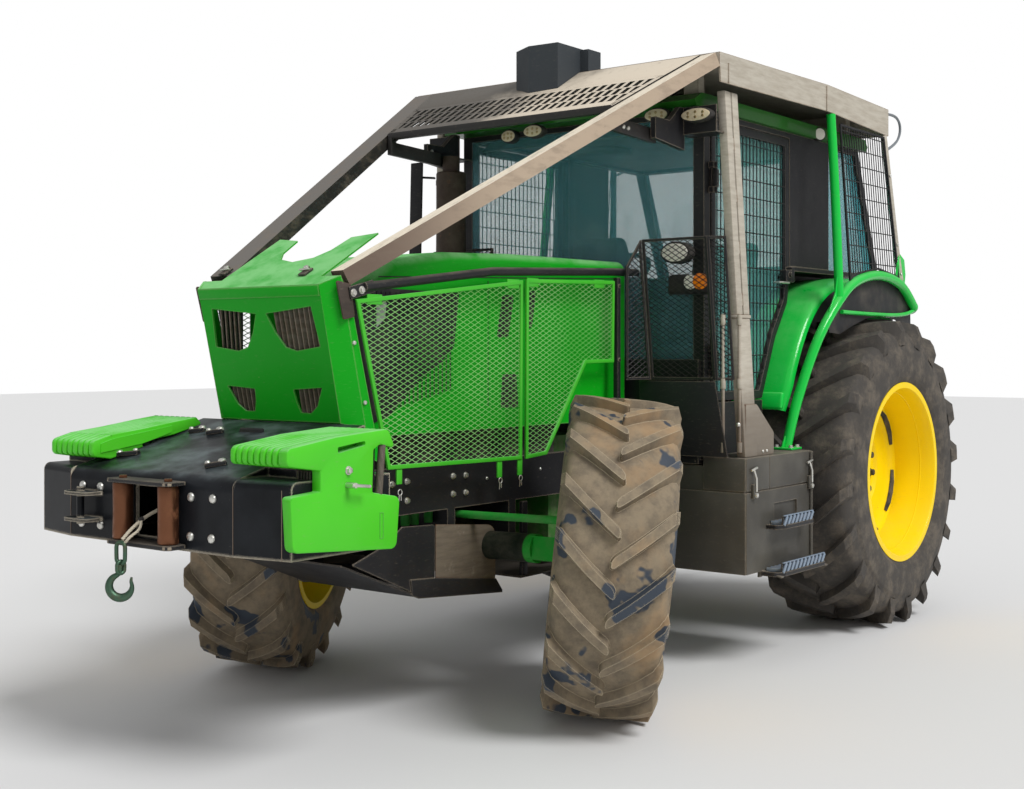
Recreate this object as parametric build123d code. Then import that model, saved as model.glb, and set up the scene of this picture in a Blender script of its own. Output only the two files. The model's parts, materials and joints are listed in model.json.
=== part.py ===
from build123d import *
from math import cos, degrees, hypot, pi, radians, sin, sqrt, tan
import os

# Lengths are millimetres. X points to the tractor's left, Y to its rear and Z up.
# While the pieces are drawn, zero is the ground under the rear axle.
ORIGIN_Y = 1665                 # the finished pieces move back by this, to centre the length on the origin

# Wheels and axles
WHEELBASE = 2770
REAR_TYRE_R = 860
REAR_TYRE_HALF = 296
REAR_WHEEL_X = 842
REAR_RIM_R = 483
FRONT_TYRE_R = 667
FRONT_TYRE_HALF = 236
FRONT_RIM_R = 356
KINGPIN_X = 769
WHEEL_OFFSET = 170              # from the kingpin to the wheel's middle
CASTER = 12                     # degrees that the kingpins lean back
STEER_LEFT = 35.0               # degrees of the left wheel as parked, at the left lock
STEER_OUTER = 27.5              # the outer wheel turns less than the inner one
STEER_ARM = 180
BOSS_HALF = 64                  # half the kingpin boss, with an ear of the knuckle above and below it
EAR_THICK = 26
EAR_Z = BOSS_HALF + 5 + EAR_THICK / 2
TYRE_SIDES = 32

# Nose, hood and winch
NOSE_FRONT_TOP = (351, -3837, 1797)
NOSE_FRONT_LOW = (341, -3712, 1262)
NOSE_SIDE_TOP = (395, -3763, 1833)
NOSE_SIDE_LOW = (400, -3600, 1120)
COVER_SLOPE = 0.585
HOOD_HALF = 345
HOOD_LOW_Z = 1200
GUARD_X = 412                   # the hood's side guards stand in this plane
RAIL_X = 418                    # the tubes that the guards hang from
WINCH_FRONT_Y = -4362
WINCH_HALF = 467
WINCH_END_X = 711
WINCH_END_Y = -4317
WINCH_LOW_Z = 829
WINCH_TOP_Z = 1104
WINCH_BEND_R = 55               # the rounded edge between the front and the top
WINCH_END_BEND_R = 28
NOSE_BASE_Z = 1258
WEIGHT_PITCH = 30
WEIGHT_COUNT = 8
ROPE_R = 7
ROPE_ROUTE = [(60, -4010, 1027), (62, -4180, 1012), (56, -4330, 975), (26, -4428, 927), (6, -4476, 866)]
HOOK_TOP = (4, -4482, 858)
HOOK_DROP = 160                 # from the top eye to the middle of the hook's bowl
HOOK_R = 44
JAW_X = (-420, -270)            # the two plates that hold the tow pin
JAW_PIN = (-345, -4405)
WEIGHT_BAR = (-4200, -3990)     # Y of the bars that the weights hang on
WEIGHT_BAR_Z = 1133

# The weights' outlines as Y and Z: a head, a whole weight on the left end, and one laid on the right
WEIGHT_HEAD = [(-4378, 1216), (-4378, 1158), (-4226, 1134), (-3968, 1134), (-3962, 1192), (-3927, 1209),
               (-3849, 1190), (-3899, 1263), (-4149, 1246)]
WEIGHT_WHOLE = [(-4378, 1216), (-4378, 1158), (-4226, 1134), (-4229, 1061), (-4366, 1054), (-4353, 866),
                (-3842, 826), (-3824, 1014), (-3968, 1040), (-3962, 1192), (-3927, 1209), (-3849, 1190),
                (-3899, 1263), (-4149, 1246)]
WEIGHT_LAID = [(-4335, 1195), (-4335, 1137), (-4250, 1123), (-4100, 1161), (-4100, 1180), (-3940, 1204),
               (-3800, 1240), (-3830, 1270), (-3940, 1257), (-4100, 1235), (-4250, 1218)]
LAID_X = (-635, -360)

# The hood's side guards, as Y and Z: the front one's ends, the rear one's ends and the rear one's fold
GUARD_TOP = ((-3704, 1741), (-2644, 1857), (-2616, 1863), (-1905, 1883))
GUARD_LOW = ((-3525, 1073), (-2651, 1060), (-2622, 1060), (-2464, 1071))
GUARD_FOLD = ((-2150, 1483), (-1912, 1486))

# The nose plate's cut-outs on the left half, as X and Z; the right half mirrors them
NOSE_CUT_HIGH = [(30, 1690), (287, 1714), (303, 1560), (170, 1543), (110, 1558), (66, 1615)]
NOSE_CUT_LOW = [(112, 1389), (274, 1399), (232, 1325), (190, 1297), (134, 1298), (119, 1340)]

# Cab, guards and roof
CAB_HALF = 760
CAB_FRONT_Y = -1650
CAB_FLOOR_Z = 1010
CAB_TOP_Z = 2720
CAB_REAR_LOW = (480, 1975)      # Y and Z where the rear wall starts to lean
CAB_REAR_TOP_Y = 190
SILL_Z = 2000                   # the ledges above the rear wheels
INNER_WALL_X = 525
DOOR_FRONT_Y = -1560
DOOR_REAR_Y = -720
DOOR_LOW_Z = 1295
DOOR_TOP_Z = 2685
DOOR_HINGE = (784, DOOR_FRONT_Y)
DOOR_HINGE_Z = (1450, 2350)
HINGE_HIGH = 90
HINGE_R = 10
ROOF_Z = 2950
ROOF_HALF = 944
ROOF_FRONT_Y = -1802
ROOF_REAR_Y = 200
RISER_SLOPE = (ROOF_Z - NOSE_SIDE_TOP[2]) / (ROOF_FRONT_Y - NOSE_SIDE_TOP[1])
POST_FOOT = ((940, 985), (-1627, -1500))
POST_LEAN = (-78, -58)          # how far the outer posts' tops stand in and forward
POST_TOP_Z = 2790
LAMPS = [(-316, 2670, 50), (-156, 2682, 64), (592, 2688, 70), (812, 2668, 84)]     # X, Z and half width
BOX_HALF = 1000                 # outer face of the step boxes
BOX_TOP_Z = 1030
BOX_LOW_Z = 470
EXHAUST_PLACE = (-640, -1880)
ROOF_BOX = [(-156, -1938), (-25, -2009), (145, -1995), (145, -1729), (-156, -1729)]
ROOF_BOX_TOP_Z = 3068
ARM_X = (655, 683)              # the arms under the visor's sides
GUSSET_X = (692, 720)
GUARD_TOP_X = 935               # the rear side guards lean out below this
GUARD_SPREAD = 0.0717

# The round tubes beside the cab's rear half, as X, Y and Z
FENDER_TUBE = [(880, -985, 1040), (915, -925, 1290), (965, -800, 1590), (1000, -620, 1800),
               (1005, -400, 1920), (1005, -80, 1968), (1005, 230, 1925), (1000, 450, 1797)]
HOOP = [(930, -553, 2822), (962, -570, 2400), (1000, -598, 1818)]

# The rear side guard's outline and its rear post, as Y and Z
REAR_GUARD = [(-466, 2783), (-474, 1922), (-400, 1956), (-80, 2000), (215, 1962), (136, 2783)]
REAR_GUARD_POST = [(150, 2793), (226, 2083), (250, 1951)]

# The left cab guard: its corners, then its three facets with the side that each is thickened towards
CAB_GUARD_CORNERS = {
    "hood high": (464, -1862, 1953), "hood low": (464, -1862, 1400),
    "bend high": (471, -1740, 2093), "bend low": (508, -1710, 1400),
    "edge high": (838, -1740, 2093), "edge low": (870, -1710, 1400),
    "post high": (922, -1700, 2093), "post low": (955, -1676, 1400),
}
CAB_GUARD_FACETS = [
    ("side", (-1, 0, 0), ("hood low", "bend low", "bend high", "hood high")),
    ("front", (0, 1, 0), ("bend low", "edge low", "edge high", "bend high")),
    ("corner", (-1, 1, 0), ("edge low", "post low", "post high", "edge high")),
]

# Three-point hitch, as Y and Z in the plane of the links
LINK_X = 330
LINK_PIVOT = (270, 500)
LINK_ROD_EYE = (690, 545)
LINK_BALL = (1120, 560)
LINK_BORE_R = 14.2
LINK_R = 21
LINK_EYE_WIDE = 44
LINK_BALL_TILT = 4              # degrees that each link's ball is turned in its socket
LIFT_PIVOT = (250, 1040)
LIFT_EYE = (LIFT_PIVOT[0] + LINK_ROD_EYE[0] - LINK_PIVOT[0], LIFT_PIVOT[1] + LINK_ROD_EYE[1] - LINK_PIVOT[1])

pieces = {}


def keep(node, *shapes):
    solids = [solid for shape in shapes for solid in shape.solids()]
    pieces[node] = solids[0] if len(solids) == 1 else Compound(children=solids)


def box(x, y, z):
    size = [high - low for low, high in (x, y, z)]
    middle = [(high + low) / 2 for low, high in (x, y, z)]
    return Pos(*middle) * Box(*size)


def fuse(*shapes):
    return shapes[0].fuse(*shapes[1:]) if len(shapes) > 1 else shapes[0]


def other_side(shape):
    return mirror(shape, about=Plane.YZ)


def on_both(shape):
    return [shape, other_side(shape)]


def handed(shape, side):
    """A shape drawn for the left, mirrored for the right."""
    return shape if side > 0 else other_side(shape)


def face_of(points):
    return Face(Wire.make_polygon([Vector(*point) for point in points], close=True))


def side_prism(points, x_low, x_high):
    """A solid from an outline in Y and Z, between two X."""
    return extrude(face_of([(x_low, y, z) for y, z in points]), amount=x_high - x_low, dir=(1, 0, 0))


def flat_prism(points, z_low, z_high):
    return extrude(face_of([(x, y, z_low) for x, y in points]), amount=z_high - z_low, dir=(0, 0, 1))


def front_prism(points, y_low, y_high):
    """A solid from an outline in X and Z, between two Y."""
    return extrude(face_of([(x, y_low, z) for x, z in points]), amount=y_high - y_low, dir=(0, 1, 0))


def plane_of(points, towards):
    """The plane through a flat outline, its normal on the side that towards points to."""
    spots = [Vector(*point) for point in points]
    normal = Vector(0, 0, 0)
    for spot, after in zip(spots, spots[1:] + spots[:1]):
        normal += (spot - spots[0]).cross(after - spots[0])
    if normal.dot(Vector(*towards)) < 0:
        normal = normal * -1
    return Plane(spots[0], x_dir=spots[1] - spots[0], z_dir=normal)


def flattened(place, points):
    """The points' places in a plane."""
    spots = [place.to_local_coords(Vector(*point)) for point in points]
    return [(spot.X, spot.Y) for spot in spots]


def plate(points, towards, thickness):
    """A flat plate whose outer face has these corners, thickened along the direction towards."""
    place = plane_of(points, towards)
    outline = face_of([(u, v, 0) for u, v in flattened(place, points)])
    return place.location * extrude(outline, amount=thickness, dir=(0, 0, 1))


def rod(start, end, radius):
    run = Vector(*end) - Vector(*start)
    return Plane(start, z_dir=run).location * Cylinder(radius, run.length,
                                                       align=(Align.CENTER, Align.CENTER, Align.MIN))


def beam(start, end, wide, high):
    """A rectangular bar whose width lies level."""
    run = Vector(*end) - Vector(*start)
    level = Vector(0, 0, 1).cross(run)
    place = Plane(start, x_dir=level, z_dir=run).location
    return place * Box(wide, high, run.length, align=(Align.CENTER, Align.CENTER, Align.MIN))


def leaning_post(foot, lean, low, high):
    """A post whose sections stay level: foot gives its X and Y ranges, lean how far its top is moved."""
    (x_low, x_high), (y_low, y_high) = foot
    section = face_of([(x_low, y_low, low), (x_high, y_low, low), (x_high, y_high, low),
                       (x_low, y_high, low)])
    run = Vector(lean[0], lean[1], high - low)
    return extrude(section, amount=run.length, dir=run)


def bent_tube(points, radius, bend):
    path = FilletPolyline(*[Vector(*point) for point in points], radius=bend)
    start = Plane(points[0], z_dir=Vector(*points[1]) - Vector(*points[0]))
    return sweep(start * Circle(radius), path=path)


def turned(outline):
    """Revolves an outline of (along, radius) about the X axis."""
    face = face_of([(along, 0, radius) for along, radius in outline])
    return revolve(face, axis=Axis.X)


def panel_in(corners, towards, border, thick, pitch, bar, rising=45):
    """A guard panel: a flat border with two layers of slanting bars fused to it."""
    place = plane_of(corners, towards)
    flat = flattened(place, corners)
    outer = face_of([(u, v, 0) for u, v in flat])
    inner = offset(outer, amount=-border, kind=Kind.INTERSECTION).faces()[0]
    frame = extrude(outer - inner, amount=thick, dir=(0, 0, 1))
    mask = offset(outer, amount=-border / 2, kind=Kind.INTERSECTION).faces()[0]
    bars = []
    middle = Vector(sum(u for u, v in flat) / len(flat), sum(v for u, v in flat) / len(flat), 0)
    reach = max(hypot(u - middle.X, v - middle.Y) for u, v in flat)
    layer_thick = thick * 0.36
    for layer, angle in enumerate((rising, -rising)):
        depth = 0 if layer == 0 else thick - layer_thick
        count = int(2 * reach / pitch) + 1
        strips = []
        for index in range(count):
            along = (index - (count - 1) / 2) * pitch
            lattice = Pos(middle.X, middle.Y, depth) * Rot(0, 0, angle) * Pos(0, along, 0)
            strip = (lattice * Rectangle(2.2 * reach, bar)) & mask
            strips += [face for face in strip.faces()] if strip else []
        bars += [extrude(face, amount=layer_thick, dir=(0, 0, 1)) for face in strips]
    return place.location * fuse(frame, *bars)


# Wheels
def tyre(radius, half, rim_r, lug_count, lug_high, lug_turn):
    """A ring of flat facets with slanting lugs. The profile is (along the axle, radius)."""
    bead = (rim_r + 0.6) / cos(pi / TYRE_SIDES)
    carcass = radius - lug_high
    depth = carcass - bead
    profile = [(-0.86 * half, bead), (-half, bead + 0.36 * depth), (-0.97 * half, bead + 0.72 * depth),
               (-0.80 * half, bead + 0.93 * depth), (0, carcass)]
    profile += [(-along, r) for along, r in reversed(profile[:-1])]
    step = 2 * pi / TYRE_SIDES

    def at(along, r, angle):
        return Vector(along, r * sin(angle), -r * cos(angle))

    faces = []
    for side in range(TYRE_SIDES):
        low = (side - 0.5) * step
        high = (side + 0.5) * step
        for index, (along, r) in enumerate(profile):
            next_along, next_r = profile[(index + 1) % len(profile)]
            faces.append(Face(Wire.make_polygon([at(along, r, low), at(along, r, high),
                                                 at(next_along, next_r, high), at(next_along, next_r, low)])))
    ring = Solid(Shell(faces))
    lugs = []
    for side in (-1, 1):
        for index in range(lug_count):
            start = 2 * pi * (index + (0.25 if side > 0 else -0.25)) / lug_count
            lugs.append(lug(at, side, start, start + radians(lug_turn), radius, half, lug_high, lug_count))
    return ring.fuse(*lugs)


def lug(at, side, start, end, radius, half, high, count):
    """One straight lug from the tread's middle to its shoulder, with sloping flanks."""
    tip = 0.22 * 2 * pi / count
    foot = 0.36 * 2 * pi / count
    sections = []
    for along, angle, drop in ((side * -0.04 * half, start, 0), (side * 0.97 * half, end, 0.012 * radius)):
        sections.append([at(along, radius - drop, angle - tip / 2), at(along, radius - drop, angle + tip / 2),
                         at(along, radius - 2.6 * high, angle + foot / 2),
                         at(along, radius - 2.6 * high, angle - foot / 2)])
    inner, outer = sections
    triangles = []
    for index in range(4):
        after = (index + 1) % 4
        triangles.append((inner[index], inner[after], outer[after]))
        triangles.append((inner[index], outer[after], outer[index]))
    triangles += [(inner[0], inner[1], inner[2]), (inner[0], inner[2], inner[3])]
    triangles += [(outer[0], outer[1], outer[2]), (outer[0], outer[2], outer[3])]
    return Solid(Shell([Face(Wire.make_polygon(list(corners))) for corners in triangles]))


def rear_rim():
    """The left rear rim, its middle at zero and its outer side towards +X."""
    r = REAR_RIM_R
    barrel = turned([(-265, r), (-265, r + 22), (-277, r + 22), (-277, r - 12), (-240, r - 20), (-60, r - 60),
                     (60, r - 60), (240, r - 20), (277, r - 12), (277, r + 22), (265, r + 22), (265, r),
                     (236, r),
                     (100, r - 40), (-100, r - 40), (-236, r)])
    dish = turned([(-30, r - 58), (-18, r - 58), (-70, 300), (-150, 190), (-150, 0), (-166, 0), (-166, 196),
                   (-84, 306)])
    hub = turned([(-166, 0), (-166, 130), (-226, 130), (-226, 0)])
    cap = turned([(-150, 0), (-150, 88), (-96, 80), (-96, 0)])
    return fuse(barrel, dish, hub, cap)


def front_rim():
    r = FRONT_RIM_R
    barrel = turned([(-212, r), (-212, r + 18), (-222, r + 18), (-222, r - 10), (-190, r - 16), (-50, r - 45),
                     (50, r - 45), (190, r - 16), (222, r - 10), (222, r + 18), (212, r + 18), (212, r),
                     (180, r),
                     (80, r - 32), (-80, r - 32), (-180, r)])
    dish = turned([(60, r - 36), (72, r - 36), (40, 240), (-40, 165), (-40, 0), (-54, 0), (-54, 171),
                   (26, 246)])
    cap = turned([(-40, 0), (-40, 95), (30, 80), (30, 0)])
    return fuse(barrel, dish, cap)


# Front axle geometry as parked
def wheel_reach(normal_z, radius, half):
    """How far a tyre reaches below its middle when its outward axis has this Z."""
    corners = ((0.97 * half, radius * 0.988), (-0.97 * half, radius * 0.988), (0, radius))
    return max(r * sqrt(1 - normal_z ** 2) - along * normal_z for along, r in corners)


def turn_about_kingpin(angle):
    return Rot(-CASTER, 0, 0) * Rot(0, 0, angle) * Rot(CASTER, 0, 0)


def axle_place(roll, pivot_z):
    return Pos(0, -WHEELBASE, pivot_z) * Rot(0, -roll, 0)


def kingpin_place(side, roll, pivot_z):
    """The place of a front wheel's kingpin, turned as parked. side is 1 on the left and -1 on the right."""
    angle = STEER_LEFT if side > 0 else STEER_OUTER
    return axle_place(roll, pivot_z) * Pos(side * KINGPIN_X, 0, 0) * turn_about_kingpin(angle)


def direction(place, vector):
    return (place * Pos(*vector)).position - place.position


def settle_axle():
    """The roll and height of the front axle that stand both turned wheels on the ground."""
    roll = 0
    pivot_z = FRONT_TYRE_R
    for attempt in range(30):
        gaps = []
        for side in (1, -1):
            place = kingpin_place(side, roll, pivot_z)
            outward = direction(place, (side, 0, 0))
            middle = (place * Pos(side * WHEEL_OFFSET, 0, 0)).position
            gaps.append(middle.Z - wheel_reach(outward.Z, FRONT_TYRE_R, FRONT_TYRE_HALF))
        pivot_z -= sum(gaps) / 2
        roll -= degrees((gaps[0] - gaps[1]) / 2 / KINGPIN_X)
    return roll, pivot_z


AXLE_ROLL, AXLE_Z = settle_axle()
AXLE = axle_place(AXLE_ROLL, AXLE_Z)
KINGPINS = {side: kingpin_place(side, AXLE_ROLL, AXLE_Z) for side in (1, -1)}
KINGPIN_AXIS = direction(AXLE, (0, sin(radians(CASTER)), cos(radians(CASTER))))
SIDE_NAME = {1: "left", -1: "right"}


def build_wheels():
    rear_tyre = tyre(REAR_TYRE_R, REAR_TYRE_HALF, REAR_RIM_R, 20, 46, 17)
    front_tyre = tyre(FRONT_TYRE_R, FRONT_TYRE_HALF, FRONT_RIM_R, 18, 38, 19)
    for side in (1, -1):
        name = SIDE_NAME[side]
        rear_place = Pos(side * REAR_WHEEL_X, 0, REAR_TYRE_R)
        front_place = KINGPINS[side] * Pos(side * WHEEL_OFFSET, 0, 0)
        keep(f"tyre_rear_{name}", rear_place * handed(rear_tyre, side))
        keep(f"rim_rear_{name}", rear_place * handed(rear_rim(), side))
        keep(f"tyre_front_{name}", front_place * handed(front_tyre, side))
        keep(f"rim_front_{name}", front_place * handed(front_rim(), side))


def build_front_axle():
    """The beam, its boss for each kingpin, the knuckles and the steering rod."""
    centre = box((-160, 160), (-105, 105), (-120, 110))
    arms = [rod((side * 150, 0, 0), (side * 600, 0, 0), 62) for side in (1, -1)]
    pivot = rod((0, -188, 0), (0, 188, 0), 60)
    lean = Rot(-CASTER, 0, 0)
    bosses = []
    for side in (1, -1):
        boss = Pos(side * KINGPIN_X, 0, 0) * lean * Cylinder(56, 2 * BOSS_HALF)
        yoke = Pos(side * (KINGPIN_X - 105), 0, 0) * lean * Box(170, 84, 100)
        bosses += [boss, yoke]
    keep("front_axle", AXLE * fuse(centre, *arms, pivot, *bosses))
    for side in (1, -1):
        ears = [lean * Pos(side * 20, 0, up * EAR_Z) * Box(160, 112, EAR_THICK) for up in (1, -1)]
        drum = Pos(side * 99, 0, 0) * Rot(0, 90, 0) * Cylinder(128, 22)
        arm = lean * Pos(0, -STEER_ARM / 2 - 20, EAR_Z) * Box(50, STEER_ARM + 40, EAR_THICK)
        keep(f"knuckle_{SIDE_NAME[side]}", KINGPINS[side] * fuse(*ears, drum, arm))
    eyes = [steering_eye(side) for side in (1, -1)]
    tube = rod(eyes[0], eyes[1], 17)
    ends = [Pos(*eye) * Cylinder(32, 26) for eye in eyes]
    keep("steering_rod", fuse(tube, *ends))


def steering_eye(side):
    """The steering rod's eye, above the end of a knuckle's arm."""
    point = (KINGPINS[side] * Rot(-CASTER, 0, 0) * Pos(0, -STEER_ARM, EAR_Z + EAR_THICK / 2)).position
    return (point.X, point.Y, point.Z + 20)


def build_driveline():
    keep("engine", box((-240, 240), (-3250, -2160), (864, 1400)),
         box((-290, 290), (-3540, -3430), (1130, 1780)))
    gearbox = side_prism([(-2150, 560), (-2150, 1130), (-1700, 1130), (-1668, 975), (-1200, 975),
                          (-1200, 560)], -200, 200)
    rear_case = side_prism([(-1190, 560), (-1190, 985), (-500, 985), (-500, 560)], -190, 190)
    keep("transmission", fuse(gearbox, rear_case, box((-150, 150), (-1205, -1185), (600, 940))))
    case = side_prism([(-495, 480), (-495, 1000), (180, 1080), (260, 900), (260, 460), (160, 420),
                       (-300, 420)], -210, 210)
    tubes = [rod((side * 200, 0, REAR_TYRE_R), (side * 560, 0, REAR_TYRE_R), 118) for side in (1, -1)]
    flanges = [rod((side * 560, 0, REAR_TYRE_R), (side * 608, 0, REAR_TYRE_R), 150) for side in (1, -1)]
    stub = rod((0, 255, 640), (0, 345, 640), 17.5)
    keep("rear_axle", fuse(case, *tubes, *flanges, stub))
    rails = [box((side * 277 - 15, side * 277 + 15), (-3700, -1680), (862, 1060)) for side in (1, -1)]
    cross = box((-262, 262), (-3700, -3660), (862, 1060))
    saddles = [box((-292, 292), (-WHEELBASE + middle - 25, -WHEELBASE + middle + 25), (AXLE_Z - 60, 863))
               for middle in (-215, 215)]
    keep("front_frame", fuse(*rails, cross, *saddles))


def build_belly():
    low = side_prism([(-3700, 700), (-3250, 500), (-3000, 480), (-3000, 488), (-3248, 508), (-3700, 708)],
                     -330, 330)
    wings = [box((side * 331 - 5, side * 331 + 5), (-3420, -3000), (560, 800)) for side in (1, -1)]
    rear = box((-300, 300), (-2500, -1300), (500, 508))
    hangers = [box((side * 285 - 10, side * 285 + 10), (-2480, -2440), (508, 850)) for side in (1, -1)]
    keep("belly_guard", fuse(low, *wings), fuse(rear, *hangers))


def build_hood():
    top = [(-3560, HOOD_LOW_Z), (-3560, 1800), (-3400, 1915), (-3050, 1965), (-2600, 1982), (-1700, 1990),
           (-1700, HOOD_LOW_Z)]
    outer = side_prism(top, -HOOD_HALF, HOOD_HALF)
    edges = [edge for edge in outer.edges() if abs(edge.center().X) > HOOD_HALF - 1 and edge.center().Z > 1850]
    outer = fillet(edges, 55)
    wall = 12
    inner = side_prism([(-3548, 1100), (-3548, 1790), (-3394, 1902), (-3048, 1952), (-2600, 1969),
                        (-1690, 1977), (-1690, 1100)],
                       -HOOD_HALF + wall, HOOD_HALF - wall)
    edges = [edge for edge in inner.edges() if abs(edge.center().X) > HOOD_HALF - wall - 1 and edge.center().Z > 1840]
    inner = fillet(edges, 43)
    keep("hood", outer - inner)


def build_side_guards():
    """Two lift-off meshes on each side of the hood. The rear one is cut away over the turned front wheel."""
    front = [GUARD_TOP[0], GUARD_TOP[1], GUARD_LOW[1], GUARD_LOW[0]]
    rear = [GUARD_TOP[2], GUARD_TOP[3], GUARD_FOLD[1], GUARD_FOLD[0], GUARD_LOW[3], GUARD_LOW[2]]
    for name, outline in (("front", front), ("rear", rear)):
        panel = panel_in([(GUARD_X, y, z) for y, z in outline], (1, 0, 0), 24, 12, 84, 8, 45)
        keep(f"side_guards_{name}", *on_both(panel))


def build_nose():
    """The folded front plate with its cut-outs, the side facets and the cover with its two horns."""
    sx, sy, sz = NOSE_SIDE_TOP
    front = [(-NOSE_FRONT_LOW[0], *NOSE_FRONT_LOW[1:]), NOSE_FRONT_LOW, NOSE_FRONT_TOP,
             (-NOSE_FRONT_TOP[0], *NOSE_FRONT_TOP[1:])]
    front_plate = plate(front, (0, 1, 0), 8)
    for outline in (NOSE_CUT_HIGH, NOSE_CUT_LOW):
        for cut in on_both(front_prism(outline, -3900, -3650)):
            front_plate -= cut
    shapes = [front_plate]
    facet = plate([NOSE_FRONT_TOP, NOSE_SIDE_TOP, NOSE_SIDE_LOW, NOSE_FRONT_LOW], (-1, 1, 0), 8)
    facet -= box((0, WINCH_HALF), (-3800, -3704), (1000, NOSE_BASE_Z + 2))
    flange = plate([NOSE_SIDE_TOP, (402, -3712, 1742), (402, -3545, 1100), NOSE_SIDE_LOW], (-1, 0, 0), 8)
    shapes += on_both(fuse(facet, flange))

    def on_cover(x, y):
        return (x, y, NOSE_SIDE_TOP[2] + COVER_SLOPE * (y - NOSE_SIDE_TOP[1]))

    half = [on_cover(0, -3837), on_cover(349, -3837), on_cover(393, -3765), on_cover(288, -3765),
            on_cover(288, -3440),
            on_cover(158, -3462), on_cover(140, -3560), on_cover(95, -3615), on_cover(0, -3641)]
    outline = half + [(-x, y, z) for x, y, z in reversed(half[1:-1])]
    shapes.append(plate(outline, (0, 0.5, -1), 7))
    keep("nose_guard", fuse(*shapes))


def build_winch():
    """The winch box ahead of the nose, its drum and the roller fairlead."""
    profile = [(WINCH_FRONT_Y, WINCH_LOW_Z), (WINCH_FRONT_Y, WINCH_TOP_Z - 11.5), (-3712, NOSE_BASE_Z),
               (-3706, NOSE_BASE_Z),
               (-3706, WINCH_LOW_Z)]
    body = side_prism(profile, -WINCH_HALF, WINCH_HALF)
    bend = [edge for edge in body.edges() if edge.center().Y < WINCH_FRONT_Y + 1 and edge.center().Z > WINCH_TOP_Z - 20]
    body = fillet(bend, WINCH_BEND_R)
    hollow = side_prism([(WINCH_FRONT_Y + 12, WINCH_LOW_Z - 5), (WINCH_FRONT_Y + 12, WINCH_TOP_Z - 52),
                         (WINCH_FRONT_Y + 52, WINCH_TOP_Z - 12), (-3718, NOSE_BASE_Z - 14),
                         (-3718, WINCH_LOW_Z - 5)],
                        -WINCH_HALF + 12, WINCH_HALF - 12)
    mouth = box((-62, 152), (WINCH_FRONT_Y - 5, WINCH_FRONT_Y + 30), (868, 1048))
    body = body - hollow - mouth
    ends = []
    for side in (1, -1):
        x_in = side * WINCH_HALF
        x_out = side * WINCH_END_X
        outline = [(x_in, WINCH_FRONT_Y), (x_out, WINCH_END_Y), (x_out, -3830), (x_in, -3830)]
        end = flat_prism(outline, WINCH_LOW_Z, WINCH_TOP_Z - 6)
        bend = [edge for edge in end.edges() if edge.center().Y < WINCH_END_Y and edge.center().Z > WINCH_TOP_Z - 10]
        end = fillet(bend, WINCH_END_BEND_R)
        inside = flat_prism([(x_in + side * 1, WINCH_FRONT_Y + 14), (x_out - side * 12, WINCH_END_Y + 12),
                             (x_out - side * 12, -3842), (x_in + side * 1, -3842)], WINCH_LOW_Z - 5,
                             WINCH_TOP_Z - 18)
        bar = box(sorted((x_in + side * 3, x_out)), WEIGHT_BAR, (WINCH_TOP_Z - 8, WEIGHT_BAR_Z))
        ends.append(fuse(end - inside, bar))
    floor = box((-WINCH_HALF + 12, WINCH_HALF - 12), (-4250, -3800), (WINCH_LOW_Z, WINCH_LOW_Z + 10))
    hooks = [box(JAW_X, (-4440, WINCH_FRONT_Y + 2), (z, z + 13)) for z in (900, 1000)]
    hooks = [fillet(hook.edges().filter_by(Axis.Z).group_by(Axis.Y)[0], 32) for hook in hooks]
    pin = rod((*JAW_PIN, 890), (*JAW_PIN, 1030), 14)
    keep("winch_box", fuse(body, *ends, floor, *hooks, pin))
    drum = turned([(-200, 0), (-200, 95), (-184, 95), (-184, 62), (184, 62), (184, 95), (200, 95), (200, 0)])
    bed = [box((side * 215 - 12, side * 215 + 12), (-4110, -3890), (WINCH_LOW_Z + 11, 1060))
           for side in (1, -1)]
    keep("winch_drum", Pos(0, -4000, 955) * drum, *bed)
    rollers = []
    for x in (-84, 174):
        rollers.append(Pos(x, -4406, 959) * Cylinder(38, 206))
    shelf_low = box((-135, 225), (-4452, WINCH_FRONT_Y - 0.2), (838, 854))
    shelf_top = box((-135, 225), (-4452, WINCH_FRONT_Y - 0.2), (1064, 1078))
    keep("fairlead_rollers", fuse(shelf_low, shelf_top, *rollers))


def cord_tube(points, radius):
    """A tube along straight runs joined by the largest tangent arcs that the runs allow."""
    spots = [Vector(*point) for point in points]
    radii = []
    for before, spot, after in zip(spots, spots[1:], spots[2:]):
        turn = radians((spot - before).get_angle(after - spot))
        radii.append(0.45 * min((spot - before).length, (after - spot).length) / tan(turn / 2))
    print("bend radii", [round(bend) for bend in radii])
    path = FilletPolyline(*spots, radius=radii)
    start = Plane(spots[0], z_dir=spots[1] - spots[0])
    return sweep(start * Circle(radius), path=path)


def build_rope():
    """The rope from the drum out between the rollers, and the hook that it carries."""
    keep("winch_rope", cord_tube(ROPE_ROUTE, ROPE_R))
    x, y, z = HOOK_TOP
    eye = Pos(x, y, z - 22) * Rot(90, 0, 0) * Torus(22, 7)
    link = Pos(x, y, z - 62) * Rot(0, 0, 60) * Rot(90, 0, 0) * Torus(24, 7)
    shank = rod((x, y, z - 82), (x, y, z - 118), 12)
    bowl = Pos(x, y, z - HOOK_DROP) * Rot(0, 0, 40) * Rot(90, 0, 0) * Torus(HOOK_R, 13)
    gap = Pos(x, y, z - HOOK_DROP) * Rot(0, 0, 40) * box((12, 80), (-20, 20), (20, 70))
    keep("winch_hook", fuse(eye, link, shank, bowl - gap))


def rounded_prism(points, radius, x_low, x_high):
    """A side prism whose corners are rounded."""
    outline = FilletPolyline(*[Vector(x_low, y, z) for y, z in points], radius=radius, close=True)
    return extrude(Face(Wire(outline.edges())), amount=x_high - x_low, dir=(1, 0, 0))


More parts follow.
